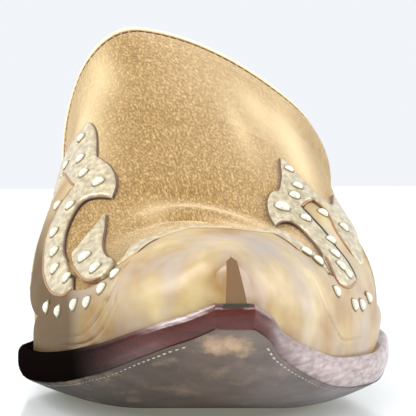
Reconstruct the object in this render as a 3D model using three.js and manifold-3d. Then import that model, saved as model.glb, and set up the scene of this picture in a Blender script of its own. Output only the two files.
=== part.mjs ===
// Western mule for the left foot: backless, with a snip toe, stacked heel and flame overlays.
// Millimetres. +Z is up, the toe points to -Y, +X is the little toe side.
// The origin is the middle of the heel's ground face.
import * as THREE from "three";
import { mergeVertices } from "three/addons/utils/BufferGeometryUtils.js";
import Module from "manifold-3d";

// Last and sole sizes
const soleLength = 290;
const ballWidth = 98.6;
const tipWidth = 9.2;
const toeInflare = 6.6;
const toeSpring = 29.5;
const heelHeight = 37.5;
const edgeLift = 7.6;
const toeTwist = 1.9;
const outsoleThickness = 5;
const weltThickness = 3;
const weltWidth = 5;
const weltLap = 3.6;
const insoleThickness = 4.4;
const insoleMargin = 1.6;

// Upper sizes
const toeHeight = 45.5;
const instepHeight = 95.8;
const ridgeOffset = 9;
const medialFlare = 8;
const lateralFlare = 19.3;
const flareHeight = 30;
const wallThickness = 2;
const overlayThickness = 1.1;

// Heel sizes
const breastAt = 231;
const heelCentreAt = 257;
const heelTaper = 0.88;
const heelBaseLength = 50;
const topLiftThickness = 6;

// Clearances
const seatGap = 0.3;
const layerGap = 0.4;
const insoleGap = 0.8;
const overlayGap = 0.3;

// One smooth function for each named column of a table, monotone between its rows
function columns(names, rows) {
  const at = rows.map((row) => row[0]);
  const result = {};
  names.slice(1).forEach((name, n) => {
    const value = rows.map((row) => row[n + 1]);
    const slope = tangents(at, value);
    result[name] = (x) => hermite(at, value, slope, x);
  });
  return result;
}

function tangents(at, value) {
  const step = at.slice(1).map((x, i) => x - at[i]);
  const rise = step.map((h, i) => (value[i + 1] - value[i]) / h);
  const last = rise.length - 1;
  const inner = rise.slice(1).map((next, i) => {
    const before = rise[i];
    if (before * next <= 0) return 0;
    const a = 2 * step[i + 1] + step[i];
    const b = step[i + 1] + 2 * step[i];
    return (a + b) / (a / before + b / next);
  });
  return [rise[0], ...inner, rise[last]];
}

function hermite(at, value, slope, x) {
  const clamped = Math.min(Math.max(x, at[0]), at[at.length - 1]);
  let i = 0;
  while (i < at.length - 2 && clamped > at[i + 1]) i += 1;
  const h = at[i + 1] - at[i];
  const s = (clamped - at[i]) / h;
  const rest = 1 - s;
  return value[i] * rest * rest * (1 + 2 * s) + slope[i] * h * s * rest * rest
    + value[i + 1] * s * s * (3 - 2 * s) - slope[i + 1] * h * s * s * rest;
}

// Outsole outline: along is a share of the sole's length from the toe tip, centre of the inflare,
// medial and lateral of half the ball's width
const tipShare = tipWidth / ballWidth;
const outline = columns(["along", "centre", "medial", "lateral"], [
  [0, 0.86, tipShare, tipShare],
  [0.014, 0.8, 0.183, 0.175],
  [0.041, 1, 0.317, 0.297],
  [0.103, 0.91, 0.532, 0.52],
  [0.162, 0.73, 0.699, 0.691],
  [0.259, 0.33, 0.902, 0.898],
  [0.328, 0.12, 0.987, 0.979],
  [0.372, 0.03, 1, 1.002],
  [0.431, 0, 0.959, 0.996],
  [0.517, 0, 0.772, 0.914],
  [0.621, 0, 0.569, 0.721],
  [0.707, 0, 0.538, 0.62],
  [0.793, 0, 0.599, 0.63],
  [0.869, 0, 0.64, 0.64],
  [1, 0, 0.64, 0.64],
]);

// Sole profile: toe is a share of the toe spring, heel of the heel height, thick of the layers,
// the lifts of the edge lift on each side and twist of the toe twist
const profile = columns(["along", "toe", "heel", "thick", "medialLift", "lateralLift", "twist"], [
  [0, 1, 0, 0.78, 0, 0, 0],
  [0.021, 0.854, 0, 0.82, 0.04, 0.04, 0.3],
  [0.041, 0.725, 0, 0.85, 0.1, 0.1, 0.7],
  [0.083, 0.502, 0, 0.9, 0.32, 0.32, 1],
  [0.131, 0.292, 0, 0.95, 0.55, 0.55, 1],
  [0.2, 0.102, 0, 1, 0.83, 0.83, 0.58],
  [0.276, 0.007, 0, 1, 0.96, 1, 0.2],
  [0.317, 0, 0, 1, 0.93, 1.05, 0],
  [0.379, 0, 0, 1, 0.75, 1.15, 0],
  [0.441, 0, 0, 1, 0.56, 1.2, 0],
  [0.517, 0, 0.085, 1, 0.4, 0.95, 0],
  [0.603, 0, 0.293, 1, 0.22, 0.5, 0],
  [0.69, 0, 0.573, 1, 0.08, 0.16, 0],
  [0.776, 0, 0.8, 1, 0, 0, 0],
  [0.862, 0, 0.907, 1, 0, 0, 0],
  [1, 0, 1, 1, 0, 0, 0],
]);

// Upper's sections: inset is a share of the welt's width, medial and lateral of their flares,
// rise of the flare height, toe of the toe height, climb of what the instep adds to it and
// ridge of the ridge offset. The rounds are the powers of the curves over the foot.
const sections = columns(
  ["along", "inset", "medial", "lateral", "rise", "toe", "climb", "ridge", "medialRound", "lateralRound"],
  [
    [0.0124, 1.4, 0.01, 0.005, 0.05, 0.8, 0, 0, 1.5, 1.5],
    [0.019, 1.28, 0.04, 0.016, 0.067, 0.875, 0, 0, 1.6, 1.6],
    [0.0276, 1.12, 0.06, 0.026, 0.087, 0.94, 0, 0, 1.7, 1.7],
    [0.048, 0.98, 0.1, 0.042, 0.117, 0.985, 0, -0.03, 1.8, 1.8],
    [0.103, 0.79, 0.125, 0.053, 0.167, 1, 0, -0.07, 1.9, 1.9],
    [0.162, 0.87, 0.15, 0.063, 0.217, 1, 0.006, -0.07, 2, 2],
    [0.259, 0.9, 0.06, 0.063, 0.3, 1, 0.04, 0, 2.1, 2.1],
    [0.328, 0.98, 0.05, 0.084, 0.333, 1, 0.149, 0.16, 2.15, 2.15],
    [0.372, 1, 0.06, 0.084, 0.367, 1, 0.258, 0.24, 2.2, 2.1],
    [0.431, 1.04, 0.22, 0.105, 0.417, 1, 0.398, 0.38, 2.15, 2],
    [0.517, 0.92, 0.54, 0.25, 0.667, 1, 0.606, 0.61, 2.1, 1.85],
    [0.59, 0.84, 0.9, 0.56, 0.833, 1, 0.775, 0.78, 2.12, 1.7],
    [0.69, 0.52, 0.64, 0.96, 0.933, 1, 1, 1, 2.15, 1.5],
    [0.793, 0.6, 0.39, 0.68, 1, 1, 1.163, 0.98, 2, 1.6],
    [0.862, 0.65, 0.31, 0.6, 1, 1, 1.243, 0.98, 2, 1.6],
  ],
);

// Topline: where the upper ends, as a share of the sole's length, for each place around it,
// from the medial sole edge at 0 over the tongue at 0.5 to the lateral sole edge at 1
const topline = columns(["around", "end"], [
  [0, 0.828],
  [0.12, 0.786],
  [0.24, 0.741],
  [0.34, 0.71],
  [0.42, 0.6945],
  [0.5, 0.69],
  [0.6, 0.692],
  [0.7, 0.692],
  [0.8, 0.71],
  [0.9, 0.7655],
  [1, 0.828],
]);

// Toe cap's rear edge around the shoe: straight over the toe, dipping at the flames, then a
// low wing back along each side
const capEdge = columns(["around", "end"], [
  [0, 0.34],
  [0.045, 0.325],
  [0.08, 0.295],
  [0.105, 0.262],
  [0.125, 0.225],
  [0.145, 0.188],
  [0.165, 0.164],
  [0.185, 0.153],
  [0.215, 0.15],
  [0.24, 0.16],
  [0.27, 0.172],
  [0.31, 0.2],
  [0.335, 0.211],
  [0.365, 0.214],
  [0.4, 0.221],
  [0.435, 0.233],
  [0.465, 0.232],
  [0.5, 0.222],
  [0.56, 0.219],
  [0.6, 0.223],
  [0.637, 0.242],
  [0.67, 0.23],
  [0.708, 0.215],
  [0.74, 0.205],
  [0.765, 0.195],
  [0.8, 0.18],
  [0.835, 0.196],
  [0.87, 0.24],
  [0.9, 0.278],
  [0.93, 0.305],
  [0.96, 0.328],
  [1, 0.34],
]);

const ballHalf = ballWidth / 2;
const soleThickness = outsoleThickness + weltThickness;
const heelRoundAt = 0.862;
const heelRoundPower = 2.3;
const liftStart = 0.4;
const liftPower = 2;

function centreAt(along) {
  return -toeInflare * outline.centre(along / soleLength);
}

function halfAt(along, side) {
  const share = along / soleLength;
  const width = ballHalf * (side < 0 ? outline.medial(share) : outline.lateral(share));
  const round = Math.max(0, (share - heelRoundAt) / (1 - heelRoundAt)) * 0.998;
  return width * (1 - round ** heelRoundPower) ** (1 / heelRoundPower);
}

function underside(along, x) {
  const share = along / soleLength;
  const off = x - centreAt(along);
  const reach = off / (ballHalf * (off < 0 ? outline.medial(share) : outline.lateral(share)));
  const outer = Math.max(0, (Math.abs(reach) - liftStart) / (1 - liftStart));
  const lift = off < 0 ? profile.medialLift(share) : profile.lateralLift(share);
  return toeSpring * profile.toe(share) + heelHeight * profile.heel(share)
    + edgeLift * lift * outer ** liftPower - toeTwist * profile.twist(share) * reach;
}

function layerTop(along, x, thickness) {
  return underside(along, x) + thickness * profile.thick(along / soleLength);
}

// Half width of an outline that stays inside the sole's by a margin, also round the heel's back
function insetHalf(along, side, margin) {
  const roundStart = heelRoundAt * soleLength;
  const back = soleLength - roundStart;
  const stretched = roundStart + (along - roundStart) * (back / (back - margin));
  const half = halfAt(along < roundStart ? along : stretched, side);
  return half * (1 - margin / (0.64 * ballHalf));
}

// Half width of the upper where it meets the welt
function featherHalf(along, side) {
  return halfAt(along, side) - weltWidth * sections.inset(along / soleLength);
}

// One side of a section, from the welt to the ridge, as points with their lengths along it
const lowSteps = 8;
const highSteps = 28;
const lowPower = 1.8;
function sideCurve(along, side) {
  const share = along / soleLength;
  const centre = centreAt(along);
  const foot = featherHalf(along, side);
  const flare = side < 0 ? medialFlare * sections.medial(share) : lateralFlare * sections.lateral(share);
  const round = side < 0 ? sections.medialRound(share) : sections.lateralRound(share);
  const footHeight = layerTop(along, centre + side * foot, soleThickness) + seatGap;
  const rise = flareHeight * sections.rise(share);
  const crown = toeHeight * sections.toe(share) + (instepHeight - toeHeight) * sections.climb(share);
  const ridge = centre - ridgeOffset * sections.ridge(share);
  const points = [];
  for (let i = 0; i < lowSteps; i += 1) {
    const s = i / lowSteps;
    points.push([centre + side * (foot + flare * (1 - (1 - s) ** lowPower)), footHeight + rise * s]);
  }
  const reach = centre + side * (foot + flare) - ridge;
  for (let i = 0; i <= highSteps; i += 1) {
    const angle = (i / highSteps) * Math.PI / 2;
    const out = Math.max(0, Math.cos(angle)) ** (2 / round);
    const up = Math.sin(angle) ** (2 / round);
    points.push([ridge + reach * out, footHeight + rise + (crown - footHeight - rise) * up]);
  }
  const lengths = [0];
  for (let i = 1; i < points.length; i += 1) {
    const step = Math.hypot(points[i][0] - points[i - 1][0], points[i][1] - points[i - 1][1]);
    lengths.push(lengths[i - 1] + step);
  }
  return { points, lengths };
}

// A point of the upper's outer face, around from 0 at the medial edge to 1 at the lateral edge
function skin(along, around) {
  const side = around <= 0.5 ? -1 : 1;
  const { points, lengths } = sideCurve(along, side);
  const total = lengths[lengths.length - 1];
  const target = total * Math.min(1, 2 * Math.min(around, 1 - around));
  let i = 0;
  while (i < lengths.length - 2 && target > lengths[i + 1]) i += 1;
  const s = (target - lengths[i]) / (lengths[i + 1] - lengths[i]);
  const x = points[i][0] + s * (points[i + 1][0] - points[i][0]);
  const z = points[i][1] + s * (points[i + 1][1] - points[i][1]);
  return new THREE.Vector3(x, along - heelCentreAt, z);
}

const alongProbe = 0.8;
const aroundProbe = 0.012;
function raised(along, around, height) {
  const point = skin(along, around);
  const low = Math.max(0, around - aroundProbe);
  const high = Math.min(1, around + aroundProbe);
  const across = skin(along, high).sub(skin(along, low));
  const back = skin(along + alongProbe, around).sub(skin(along - alongProbe, around));
  return point.addScaledVector(back.cross(across).normalize(), -height);
}

// The nose: a ridge that leans back from the welt to the crown of the toe
const noseFootAt = 4;
const noseCrownAt = 8;
const noseLean = 1;
const noseSharpness = 1.6;
function noseAlong(up) {
  return noseFootAt + (noseCrownAt - noseFootAt) * up;
}

function noseRidge(up, height) {
  const along = noseAlong(up);
  const foot = layerTop(noseFootAt, centreAt(noseFootAt), soleThickness) + seatGap;
  const crown = skin(noseCrownAt, 0.5).z;
  const lean = noseLean * up;
  return new THREE.Vector3(
    centreAt(along),
    along - heelCentreAt - noseSharpness * height * Math.cos(lean),
    foot + (crown - foot) * up + noseSharpness * height * Math.sin(lean),
  );
}

// A point of a shell over the last: share runs from the nose to the end given for each place around
function shellPoint(share, around, end, height) {
  const up = 2 * Math.min(around, 1 - around);
  if (share === 0) return noseRidge(up, height);
  const start = noseAlong(up);
  return raised(start + share * (end - start), around, height);
}

// A closed block with its lattice bent into place. A nosed block has no first end, because its
// two halves meet there in a ridge.
function bentBlock(ni, nj, nk, place, nosed = false) {
  const lattice = new Map();
  const at = (i, j, k) => {
    const key = (i * (nj + 1) + j) * (nk + 1) + k;
    if (!lattice.has(key)) lattice.set(key, place(i, j, k));
    return lattice.get(key);
  };
  const triangles = [];
  const quad = (a, b, c, d) => triangles.push(a, b, c, a, c, d);
  for (let i = 0; i < ni; i += 1) {
    for (let j = 0; j < nj; j += 1) {
      quad(at(i, j, 0), at(i, j + 1, 0), at(i + 1, j + 1, 0), at(i + 1, j, 0));
      quad(at(i, j, nk), at(i + 1, j, nk), at(i + 1, j + 1, nk), at(i, j + 1, nk));
    }
    for (let k = 0; k < nk; k += 1) {
      quad(at(i, 0, k), at(i + 1, 0, k), at(i + 1, 0, k + 1), at(i, 0, k + 1));
      quad(at(i, nj, k), at(i, nj, k + 1), at(i + 1, nj, k + 1), at(i + 1, nj, k));
    }
  }
  for (let j = 0; j < nj; j += 1) {
    for (let k = 0; k < nk; k += 1) {
      if (!nosed) quad(at(0, j, k), at(0, j, k + 1), at(0, j + 1, k + 1), at(0, j + 1, k));
      quad(at(ni, j, k), at(ni, j + 1, k), at(ni, j + 1, k + 1), at(ni, j, k + 1));
    }
  }
  return closedGeometry(triangles);
}

// Geometry of a closed body from its corner triples, turned so that its faces point out
function closedGeometry(corners) {
  let volume = 0;
  for (let i = 0; i < corners.length; i += 3) {
    volume += corners[i].dot(corners[i + 1].clone().cross(corners[i + 2]));
  }
  const ordered = volume > 0 ? corners : corners.slice().reverse();
  const geometry = new THREE.BufferGeometry().setFromPoints(ordered);
  return mergeVertices(geometry);
}

const wasm = await Module();
wasm.setup();

function toSolid(geometry) {
  const vertProperties = Float32Array.from(geometry.attributes.position.array);
  const triVerts = Uint32Array.from(geometry.index.array);
  return new wasm.Manifold(new wasm.Mesh({ numProp: 3, vertProperties, triVerts }));
}

function toGeometry(solid) {
  const mesh = solid.getMesh();
  const geometry = new THREE.BufferGeometry();
  geometry.setAttribute("position", new THREE.BufferAttribute(mesh.vertProperties, 3));
  geometry.setIndex(new THREE.BufferAttribute(mesh.triVerts, 1));
  return geometry;
}

// Materials
const suede = new THREE.MeshStandardMaterial({ color: 0xc9a567, roughness: 0.95, metalness: 0 });
const waxedLeather = new THREE.MeshStandardMaterial({ color: 0xd2b27c, roughness: 0.5, metalness: 0 });
const pearlLeather = new THREE.MeshStandardMaterial({ color: 0xd6d0b0, roughness: 0.35, metalness: 0.3 });
const soleLeather = new THREE.MeshStandardMaterial({ color: 0x5b2a22, roughness: 0.35, metalness: 0 });
const liningLeather = new THREE.MeshStandardMaterial({ color: 0xc8a878, roughness: 0.7, metalness: 0 });
const heelRubber = new THREE.MeshStandardMaterial({ color: 0x2a2220, roughness: 0.8, metalness: 0 });

const shoe = new THREE.Group();
function addPart(name, geometry, material) {
  const mesh = new THREE.Mesh(geometry, material);
  mesh.name = name;
  shoe.add(mesh);
}

// Stations from one end to the other, closer together at both ends
function eased(n, first, last) {
  return Array.from({ length: n + 1 }, (_, i) => first + (last - first) * (1 - Math.cos((Math.PI * i) / n)) / 2);
}

// A layer of the sole between two heights, across its whole width
function soleLayer(stations, lanes, halfWidth, bottom, top) {
  return bentBlock(stations.length - 1, lanes, 1, (i, j, k) => {
    const along = stations[i];
    const reach = (2 * j) / lanes - 1;
    const x = centreAt(along) + reach * halfWidth(along, Math.sign(reach) || 1);
    return new THREE.Vector3(x, along - heelCentreAt, (k ? top : bottom)(along, x));
  });
}

// Outsole
function buildOutsole() {
  const top = (along, x) => layerTop(along, x, outsoleThickness);
  return soleLayer(eased(38, 0, soleLength), 14, halfAt, underside, top);
}

// Welt: a strip round the forefoot and waist, from the heel seat round the toe and back
const upperEndAt = soleLength * topline.end(0);
const weltEndAt = upperEndAt + 1.5;
const weltFrontInner = 9;
const weltBlendAt = 30;
const weltStations = 30;
function innerHalf(along, side) {
  return featherHalf(along, side) - weltLap;
}

function buildWelt() {
  return bentBlock(2 * weltStations + 1, 2, 1, (i, j, k) => {
    const side = i <= weltStations ? -1 : 1;
    const step = side < 0 ? weltStations - i : i - weltStations - 1;
    const along = weltEndAt * (step / weltStations) ** 1.5;
    const pulled = weltFrontInner + along * (1 - weltFrontInner / weltBlendAt);
    const innerAlong = Math.max(along, pulled);
    const outer = centreAt(along) + side * halfAt(along, side);
    const inner = centreAt(innerAlong) + side * innerHalf(innerAlong, side);
    const x = outer + (inner - outer) * (j / 2);
    const there = along + (innerAlong - along) * (j / 2);
    const z = k
      ? layerTop(there, x, soleThickness)
      : layerTop(there, x, outsoleThickness) + layerGap;
    return new THREE.Vector3(x, there - heelCentreAt, z);
  });
}

// Insole: inside the welt under the upper, then out over the heel seat behind it
const insoleStepAt = weltEndAt + 0.4;
const insoleWideAt = weltEndAt + 8;
function insoleHalf(along, side) {
  const narrow = innerHalf(Math.min(along, weltEndAt), side) - insoleGap;
  const wide = insetHalf(along, side, insoleMargin);
  const blend = THREE.MathUtils.smoothstep(along, insoleStepAt, insoleWideAt);
  return Math.max(0.8, Math.min(narrow + (wide - narrow) * blend, wide));
}

function buildInsole() {
  const bottom = (along, x) => layerTop(along, x, outsoleThickness) + layerGap;
  const top = (along, x) => bottom(along, x) + insoleThickness;
  const stations = [
    ...eased(26, weltFrontInner + 2, insoleStepAt),
    ...eased(10, insoleStepAt, soleLength - insoleMargin).slice(1),
  ];
  return soleLayer(stations, 10, insoleHalf, bottom, top);
}

// Heel: a stack that tapers to its top lift, and the top lift under it
const heelInset = 0.6;
function heelPoint(share, reach, level) {
  const topAlong = breastAt + (soleLength - heelInset - breastAt) * share;
  const topHalf = Math.max(1.2, halfAt(topAlong, Math.sign(reach) || 1) - heelInset);
  const baseStart = heelCentreAt - heelBaseLength / 2;
  const baseAlong = baseStart + heelBaseLength * share;
  const taper = 1 - (1 - heelTaper) * (1 - level ** 1.5);
  const along = baseAlong + (topAlong - baseAlong) * level ** 1.3;
  return { along, x: reach * topHalf * taper, seat: underside(topAlong, reach * topHalf) - seatGap };
}

function heelBlock(levels, heightOf) {
  const stations = 14;
  const lanes = 6;
  return bentBlock(stations, lanes, levels, (i, j, k) => {
    const share = Math.sin((Math.PI / 2) * (i / stations));
    const { level, height } = heightOf(k / levels);
    const { along, x, seat } = heelPoint(share, (2 * j) / lanes - 1, level);
    return new THREE.Vector3(x, along - heelCentreAt, height(seat));
  });
}

function buildHeelStack() {
  const foot = topLiftThickness + seatGap;
  return heelBlock(5, (k) => ({ level: k, height: (seat) => foot + (seat - foot) * k }));
}

function buildTopLift() {
  return heelBlock(1, (k) => ({ level: 0, height: () => topLiftThickness * k }));
}

// Upper: one wall over the last, open at the topline and underneath
const upperRows = [0, 0.012, 0.035, 0.065, 0.1, 0.145, 0.19, 0.235, 0.28, 0.325, 0.37, 0.415, 0.46, 0.505,
  0.55, 0.6, 0.65, 0.7, 0.75, 0.8, 0.85, 0.9, 0.95, 1];
const upperLanes = 32;
function buildUpper() {
  return bentBlock(upperRows.length - 1, upperLanes, 1, (i, j, k) => {
    const around = j / upperLanes;
    const end = soleLength * topline.end(around);
    return shellPoint(upperRows[i], around, end, k ? 0 : -wallThickness);
  }, true);
}

// Flame overlays. Each run goes from one corner to the next as a smooth curve. A row is along, a
// share of the sole's length, and up, a share of the way from the welt to the ridge.
const medialFlame = [
  [[0.539, 0.72], [0.516, 0.73], [0.489, 0.725], [0.45, 0.702]],
  [[0.45, 0.702], [0.419, 0.722], [0.402, 0.725], [0.383, 0.72], [0.367, 0.705], [0.352, 0.675]],
  [[0.352, 0.675], [0.365, 0.635], [0.374, 0.585],
    [0.366, 0.53], [0.344, 0.465], [0.31, 0.415], [0.284, 0.395]],
  [[0.284, 0.395], [0.255, 0.362]],
  [[0.255, 0.362], [0.234, 0.345], [0.213, 0.3]],
  [[0.213, 0.3], [0.222, 0.268], [0.25, 0.258], [0.28, 0.27],
    [0.33, 0.32], [0.375, 0.39], [0.404, 0.475], [0.423, 0.585]],
  [[0.423, 0.585], [0.474, 0.572], [0.512, 0.545]],
  [[0.512, 0.545], [0.49, 0.46], [0.455, 0.37], [0.42, 0.29], [0.385, 0.225]],
  [[0.385, 0.225], [0.4, 0.195], [0.43, 0.2]],
  [[0.43, 0.2], [0.47, 0.26], [0.52, 0.32], [0.585, 0.37]],
  [[0.585, 0.37], [0.562, 0.44], [0.553, 0.52], [0.547, 0.6], [0.538, 0.67], [0.539, 0.72]],
];
const medialShortFlame = [
  [[0.328, 0.63], [0.297, 0.592], [0.278, 0.562], [0.249, 0.53], [0.214, 0.507], [0.193, 0.508]],
  [[0.193, 0.508], [0.18, 0.49], [0.168, 0.44], [0.168, 0.39]],
  [[0.168, 0.39], [0.182, 0.362], [0.2, 0.358], [0.228, 0.372], [0.255, 0.392]],
  [[0.255, 0.392], [0.284, 0.422], [0.292, 0.465], [0.301, 0.515], [0.313, 0.57], [0.328, 0.63]],
];
const lateralFlame = [
  [[0.443, 0.67], [0.417, 0.68], [0.388, 0.69], [0.352, 0.712]],
  [[0.352, 0.712], [0.344, 0.742], [0.328, 0.757], [0.309, 0.761], [0.29, 0.755], [0.268, 0.735]],
  [[0.268, 0.735], [0.284, 0.71], [0.29, 0.67], [0.282, 0.625], [0.266, 0.59], [0.247, 0.55], [0.224, 0.5]],
  [[0.224, 0.5], [0.206, 0.445], [0.193, 0.395], [0.193, 0.355], [0.21, 0.325], [0.238, 0.33]],
  [[0.238, 0.33], [0.259, 0.42], [0.274, 0.48], [0.292, 0.525], [0.313, 0.585], [0.332, 0.63]],
  [[0.332, 0.63], [0.347, 0.61], [0.36, 0.582]],
  [[0.36, 0.582], [0.352, 0.54], [0.335, 0.51], [0.313, 0.485], [0.297, 0.445], [0.285, 0.395]],
  [[0.285, 0.395], [0.285, 0.35], [0.305, 0.335]],
  [[0.305, 0.335], [0.336, 0.368], [0.38, 0.4], [0.425, 0.425], [0.466, 0.435]],
  [[0.466, 0.435], [0.42, 0.465], [0.385, 0.495],
    [0.375, 0.53], [0.392, 0.58], [0.425, 0.64], [0.443, 0.67]],
];

// Closed outline of a flame in along and around, from its runs, anticlockwise
const runSteps = 4;
function flameOutline(runs, side) {
  const outlinePoints = [];
  runs.forEach((run) => {
    const curve = new THREE.SplineCurve(run.map(([along, up]) => new THREE.Vector2(along, up)));
    const points = curve.getPoints(Math.max(2, (run.length - 1) * runSteps / 2));
    points.slice(0, -1).forEach((point) => outlinePoints.push(point));
  });
  const closed = outlinePoints.map((point) => {
    const around = side < 0 ? point.y / 2 : 1 - point.y / 2;
    return new THREE.Vector2(point.x * soleLength, around);
  });
  return THREE.ShapeUtils.isClockWise(closed) ? closed.reverse() : closed;
}

// The outline grown on all sides, with distances around the shoe in millimetres
const girthScale = 170;
function grown(points, distance) {
  const flat = points.map((point) => new THREE.Vector2(point.x, point.y * girthScale));
  return flat.map((point, i) => {
    const before = flat[(i + flat.length - 1) % flat.length];
    const after = flat[(i + 1) % flat.length];
    const way = after.clone().sub(before).normalize();
    return new THREE.Vector2(point.x + distance * way.y, (point.y - distance * way.x) / girthScale);
  });
}

// A plug through the shell with the flame's outline
const plugDepth = -3;
const plugHeight = 14;
function flamePlug(points) {
  const flat = points.map((point) => new THREE.Vector2(point.x, point.y * girthScale));
  const faces = THREE.ShapeUtils.triangulateShape(flat, []);
  const low = points.map((point) => raised(point.x, point.y, plugDepth));
  const high = points.map((point) => raised(point.x, point.y, plugHeight));
  const corners = [];
  faces.forEach(([a, b, c]) => corners.push(high[a], high[b], high[c], low[c], low[b], low[a]));
  points.forEach((point, i) => {
    const next = (i + 1) % points.length;
    corners.push(low[i], low[next], high[next], low[i], high[next], high[i]);
  });
  return toSolid(closedGeometry(corners));
}

// An overlay's shell over the upper, on the upper's own lattice, for a range of rows and lanes
function overlayShell(firstRow, lastRow, firstLane, lastLane) {
  return bentBlock(lastRow - firstRow, lastLane - firstLane, 1, (i, j, k) => {
    const around = (firstLane + j) / upperLanes;
    const height = overlayGap + k * overlayThickness;
    return shellPoint(upperRows[firstRow + i], around, soleLength * topline.end(around), height);
  }, firstRow === 0);
}

// The flame cut from the lattice cells that it covers
function buildFlame(points) {
  const alongs = points.map((point) => point.x);
  const arounds = points.map((point) => point.y);
  const firstLane = Math.floor(Math.min(...arounds) * upperLanes - 0.2);
  const lastLane = Math.ceil(Math.max(...arounds) * upperLanes + 0.2);
  const rowAt = (row, lane) => {
    const around = lane / upperLanes;
    const start = noseAlong(2 * Math.min(around, 1 - around));
    return start + upperRows[row] * (soleLength * topline.end(around) - start);
  };
  let firstRow = 1;
  while (Math.max(rowAt(firstRow + 1, firstLane), rowAt(firstRow + 1, lastLane)) < Math.min(...alongs) - 1) {
    firstRow += 1;
  }
  let lastRow = firstRow + 1;
  while (Math.min(rowAt(lastRow, firstLane), rowAt(lastRow, lastLane)) < Math.max(...alongs) + 1) lastRow += 1;
  const shell = toSolid(overlayShell(firstRow, lastRow, firstLane, lastLane));
  return toGeometry(shell.intersect(flamePlug(points)));
}

// Everything behind the toe cap's rear edge
const cutLanes = 56;
function behindCap() {
  return toSolid(bentBlock(9, cutLanes, 1, (i, j, k) => {
    const around = j / cutLanes;
    const start = soleLength * capEdge.end(around);
    const along = start + (soleLength * capCutEnd - start) * (i / 9);
    return raised(along, around, k ? plugHeight : plugDepth);
  }));
}

// The space just above the welt that the cap's lower edge keeps clear of
function weltSpace() {
  const wide = (along, side) => halfAt(along, side) + 4;
  const low = (along, x) => layerTop(along, x, soleThickness) - weltThickness;
  const high = (along, x) => layerTop(along, x, soleThickness) + capFootGap;
  return toSolid(soleLayer(eased(44, 0, soleLength), 16, wide, low, high));
}

// Toe cap with its wings, cut clear of the flames
const capCutEnd = 0.62;
const capLastRow = 13;
const capFootGap = 1;
function buildToeCap(flames) {
  const shell = toSolid(overlayShell(0, capLastRow, 0, upperLanes));
  const trimmed = shell.subtract(behindCap()).subtract(weltSpace());
  const cut = flames.reduce((solid, points) => solid.subtract(flamePlug(grown(points, overlayGap))), trimmed);
  return toGeometry(cut);
}

const flames = {
  flame_medial: flameOutline(medialFlame, -1),
  flame_medial_short: flameOutline(medialShortFlame, -1),
  flame_lateral: flameOutline(lateralFlame, 1),
};

addPart("outsole", buildOutsole(), soleLeather);
addPart("welt", buildWelt(), soleLeather);
addPart("insole", buildInsole(), liningLeather);
addPart("heel_stack", buildHeelStack(), soleLeather);
addPart("heel_top_lift", buildTopLift(), heelRubber);
addPart("upper", buildUpper(), suede);
addPart("toe_cap", buildToeCap(Object.values(flames)), waxedLeather);
Object.entries(flames).forEach(([name, points]) => addPart(name, buildFlame(points), pearlLeather));

export default shoe;
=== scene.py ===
# Left western mule in tan suede: a waxed toe cap, pearl flames with studs, a burgundy welt and a
# stacked heel. Sizes are in millimetres until a mesh is made. Along runs back from the toe tip,
# around runs over the foot from the medial welt (0) to the lateral welt (1).
import math

import bpy
import numpy as np
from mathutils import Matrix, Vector
from mathutils.geometry import delaunay_2d_cdt


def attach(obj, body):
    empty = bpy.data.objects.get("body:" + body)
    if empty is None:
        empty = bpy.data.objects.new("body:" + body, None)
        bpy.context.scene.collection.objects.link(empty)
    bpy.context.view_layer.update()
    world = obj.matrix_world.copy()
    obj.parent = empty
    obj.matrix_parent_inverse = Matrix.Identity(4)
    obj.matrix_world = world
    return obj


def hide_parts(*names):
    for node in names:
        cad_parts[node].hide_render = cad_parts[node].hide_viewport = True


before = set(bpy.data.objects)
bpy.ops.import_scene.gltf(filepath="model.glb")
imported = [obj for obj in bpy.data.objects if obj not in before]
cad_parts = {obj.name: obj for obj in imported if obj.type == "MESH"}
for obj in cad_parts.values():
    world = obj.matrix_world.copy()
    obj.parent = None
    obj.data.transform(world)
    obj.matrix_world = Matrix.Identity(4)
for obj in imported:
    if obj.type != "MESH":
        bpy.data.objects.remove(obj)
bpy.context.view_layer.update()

last = {
    "length": 290.0,
    "ballWidth": 98.6,
    "tipWidth": 9.2,
    "inflare": 6.6,
    "toeSpring": 29.5,
    "heelHeight": 37.5,
    "edgeLift": 7.6,
    "toeTwist": 1.9,
    "outsole": 5.0,
    "welt": 3.0,
    "weltWidth": 5.0,
    "weltLap": 3.6,
    "insole": 4.4,
    "insoleMargin": 1.6,
    "toeHeight": 45.5,
    "instepHeight": 95.8,
    "ridge": 9.0,
    "medialFlare": 8.0,
    "lateralFlare": 19.3,
    "flareHeight": 30.0,
    "wall": 2.0,
    "heelCentre": 257.0,
    "breast": 231.0,
    "heelTaper": 0.88,
    "heelBase": 50.0,
    "heelShare": 0.64,
    "heelRoundAt": 0.862,
    "heelRoundPower": 2.3,
    "flatShare": 0.4,
    "topLift": 6.0,
    "gap": 0.3,
    "girth": 170.0,
}


def smoothCurve(at, value):
    at = np.asarray(at, float)
    value = np.asarray(value, float)
    step = np.diff(at)
    rise = np.diff(value) / step
    slope = np.zeros(len(at))
    slope[0], slope[-1] = rise[0], rise[-1]
    for i in range(1, len(at) - 1):
        if rise[i - 1] * rise[i] > 0:
            a = 2 * step[i] + step[i - 1]
            b = step[i] + 2 * step[i - 1]
            slope[i] = (a + b) / (a / rise[i - 1] + b / rise[i])

    def curve(x):
        x = np.clip(x, at[0], at[-1])
        i = np.clip(np.searchsorted(at, x, side="right") - 1, 0, len(at) - 2)
        h = at[i + 1] - at[i]
        s = (x - at[i]) / h
        r = 1 - s
        return (value[i] * r * r * (1 + 2 * s) + slope[i] * h * s * r * r
                + value[i + 1] * s * s * (3 - 2 * s) - slope[i + 1] * h * s * s * r)

    return curve


def columns(names, rows):
    table = np.array(rows, float)
    return {name: smoothCurve(table[:, 0], table[:, n + 1]) for n, name in enumerate(names.split()[1:])}


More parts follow.
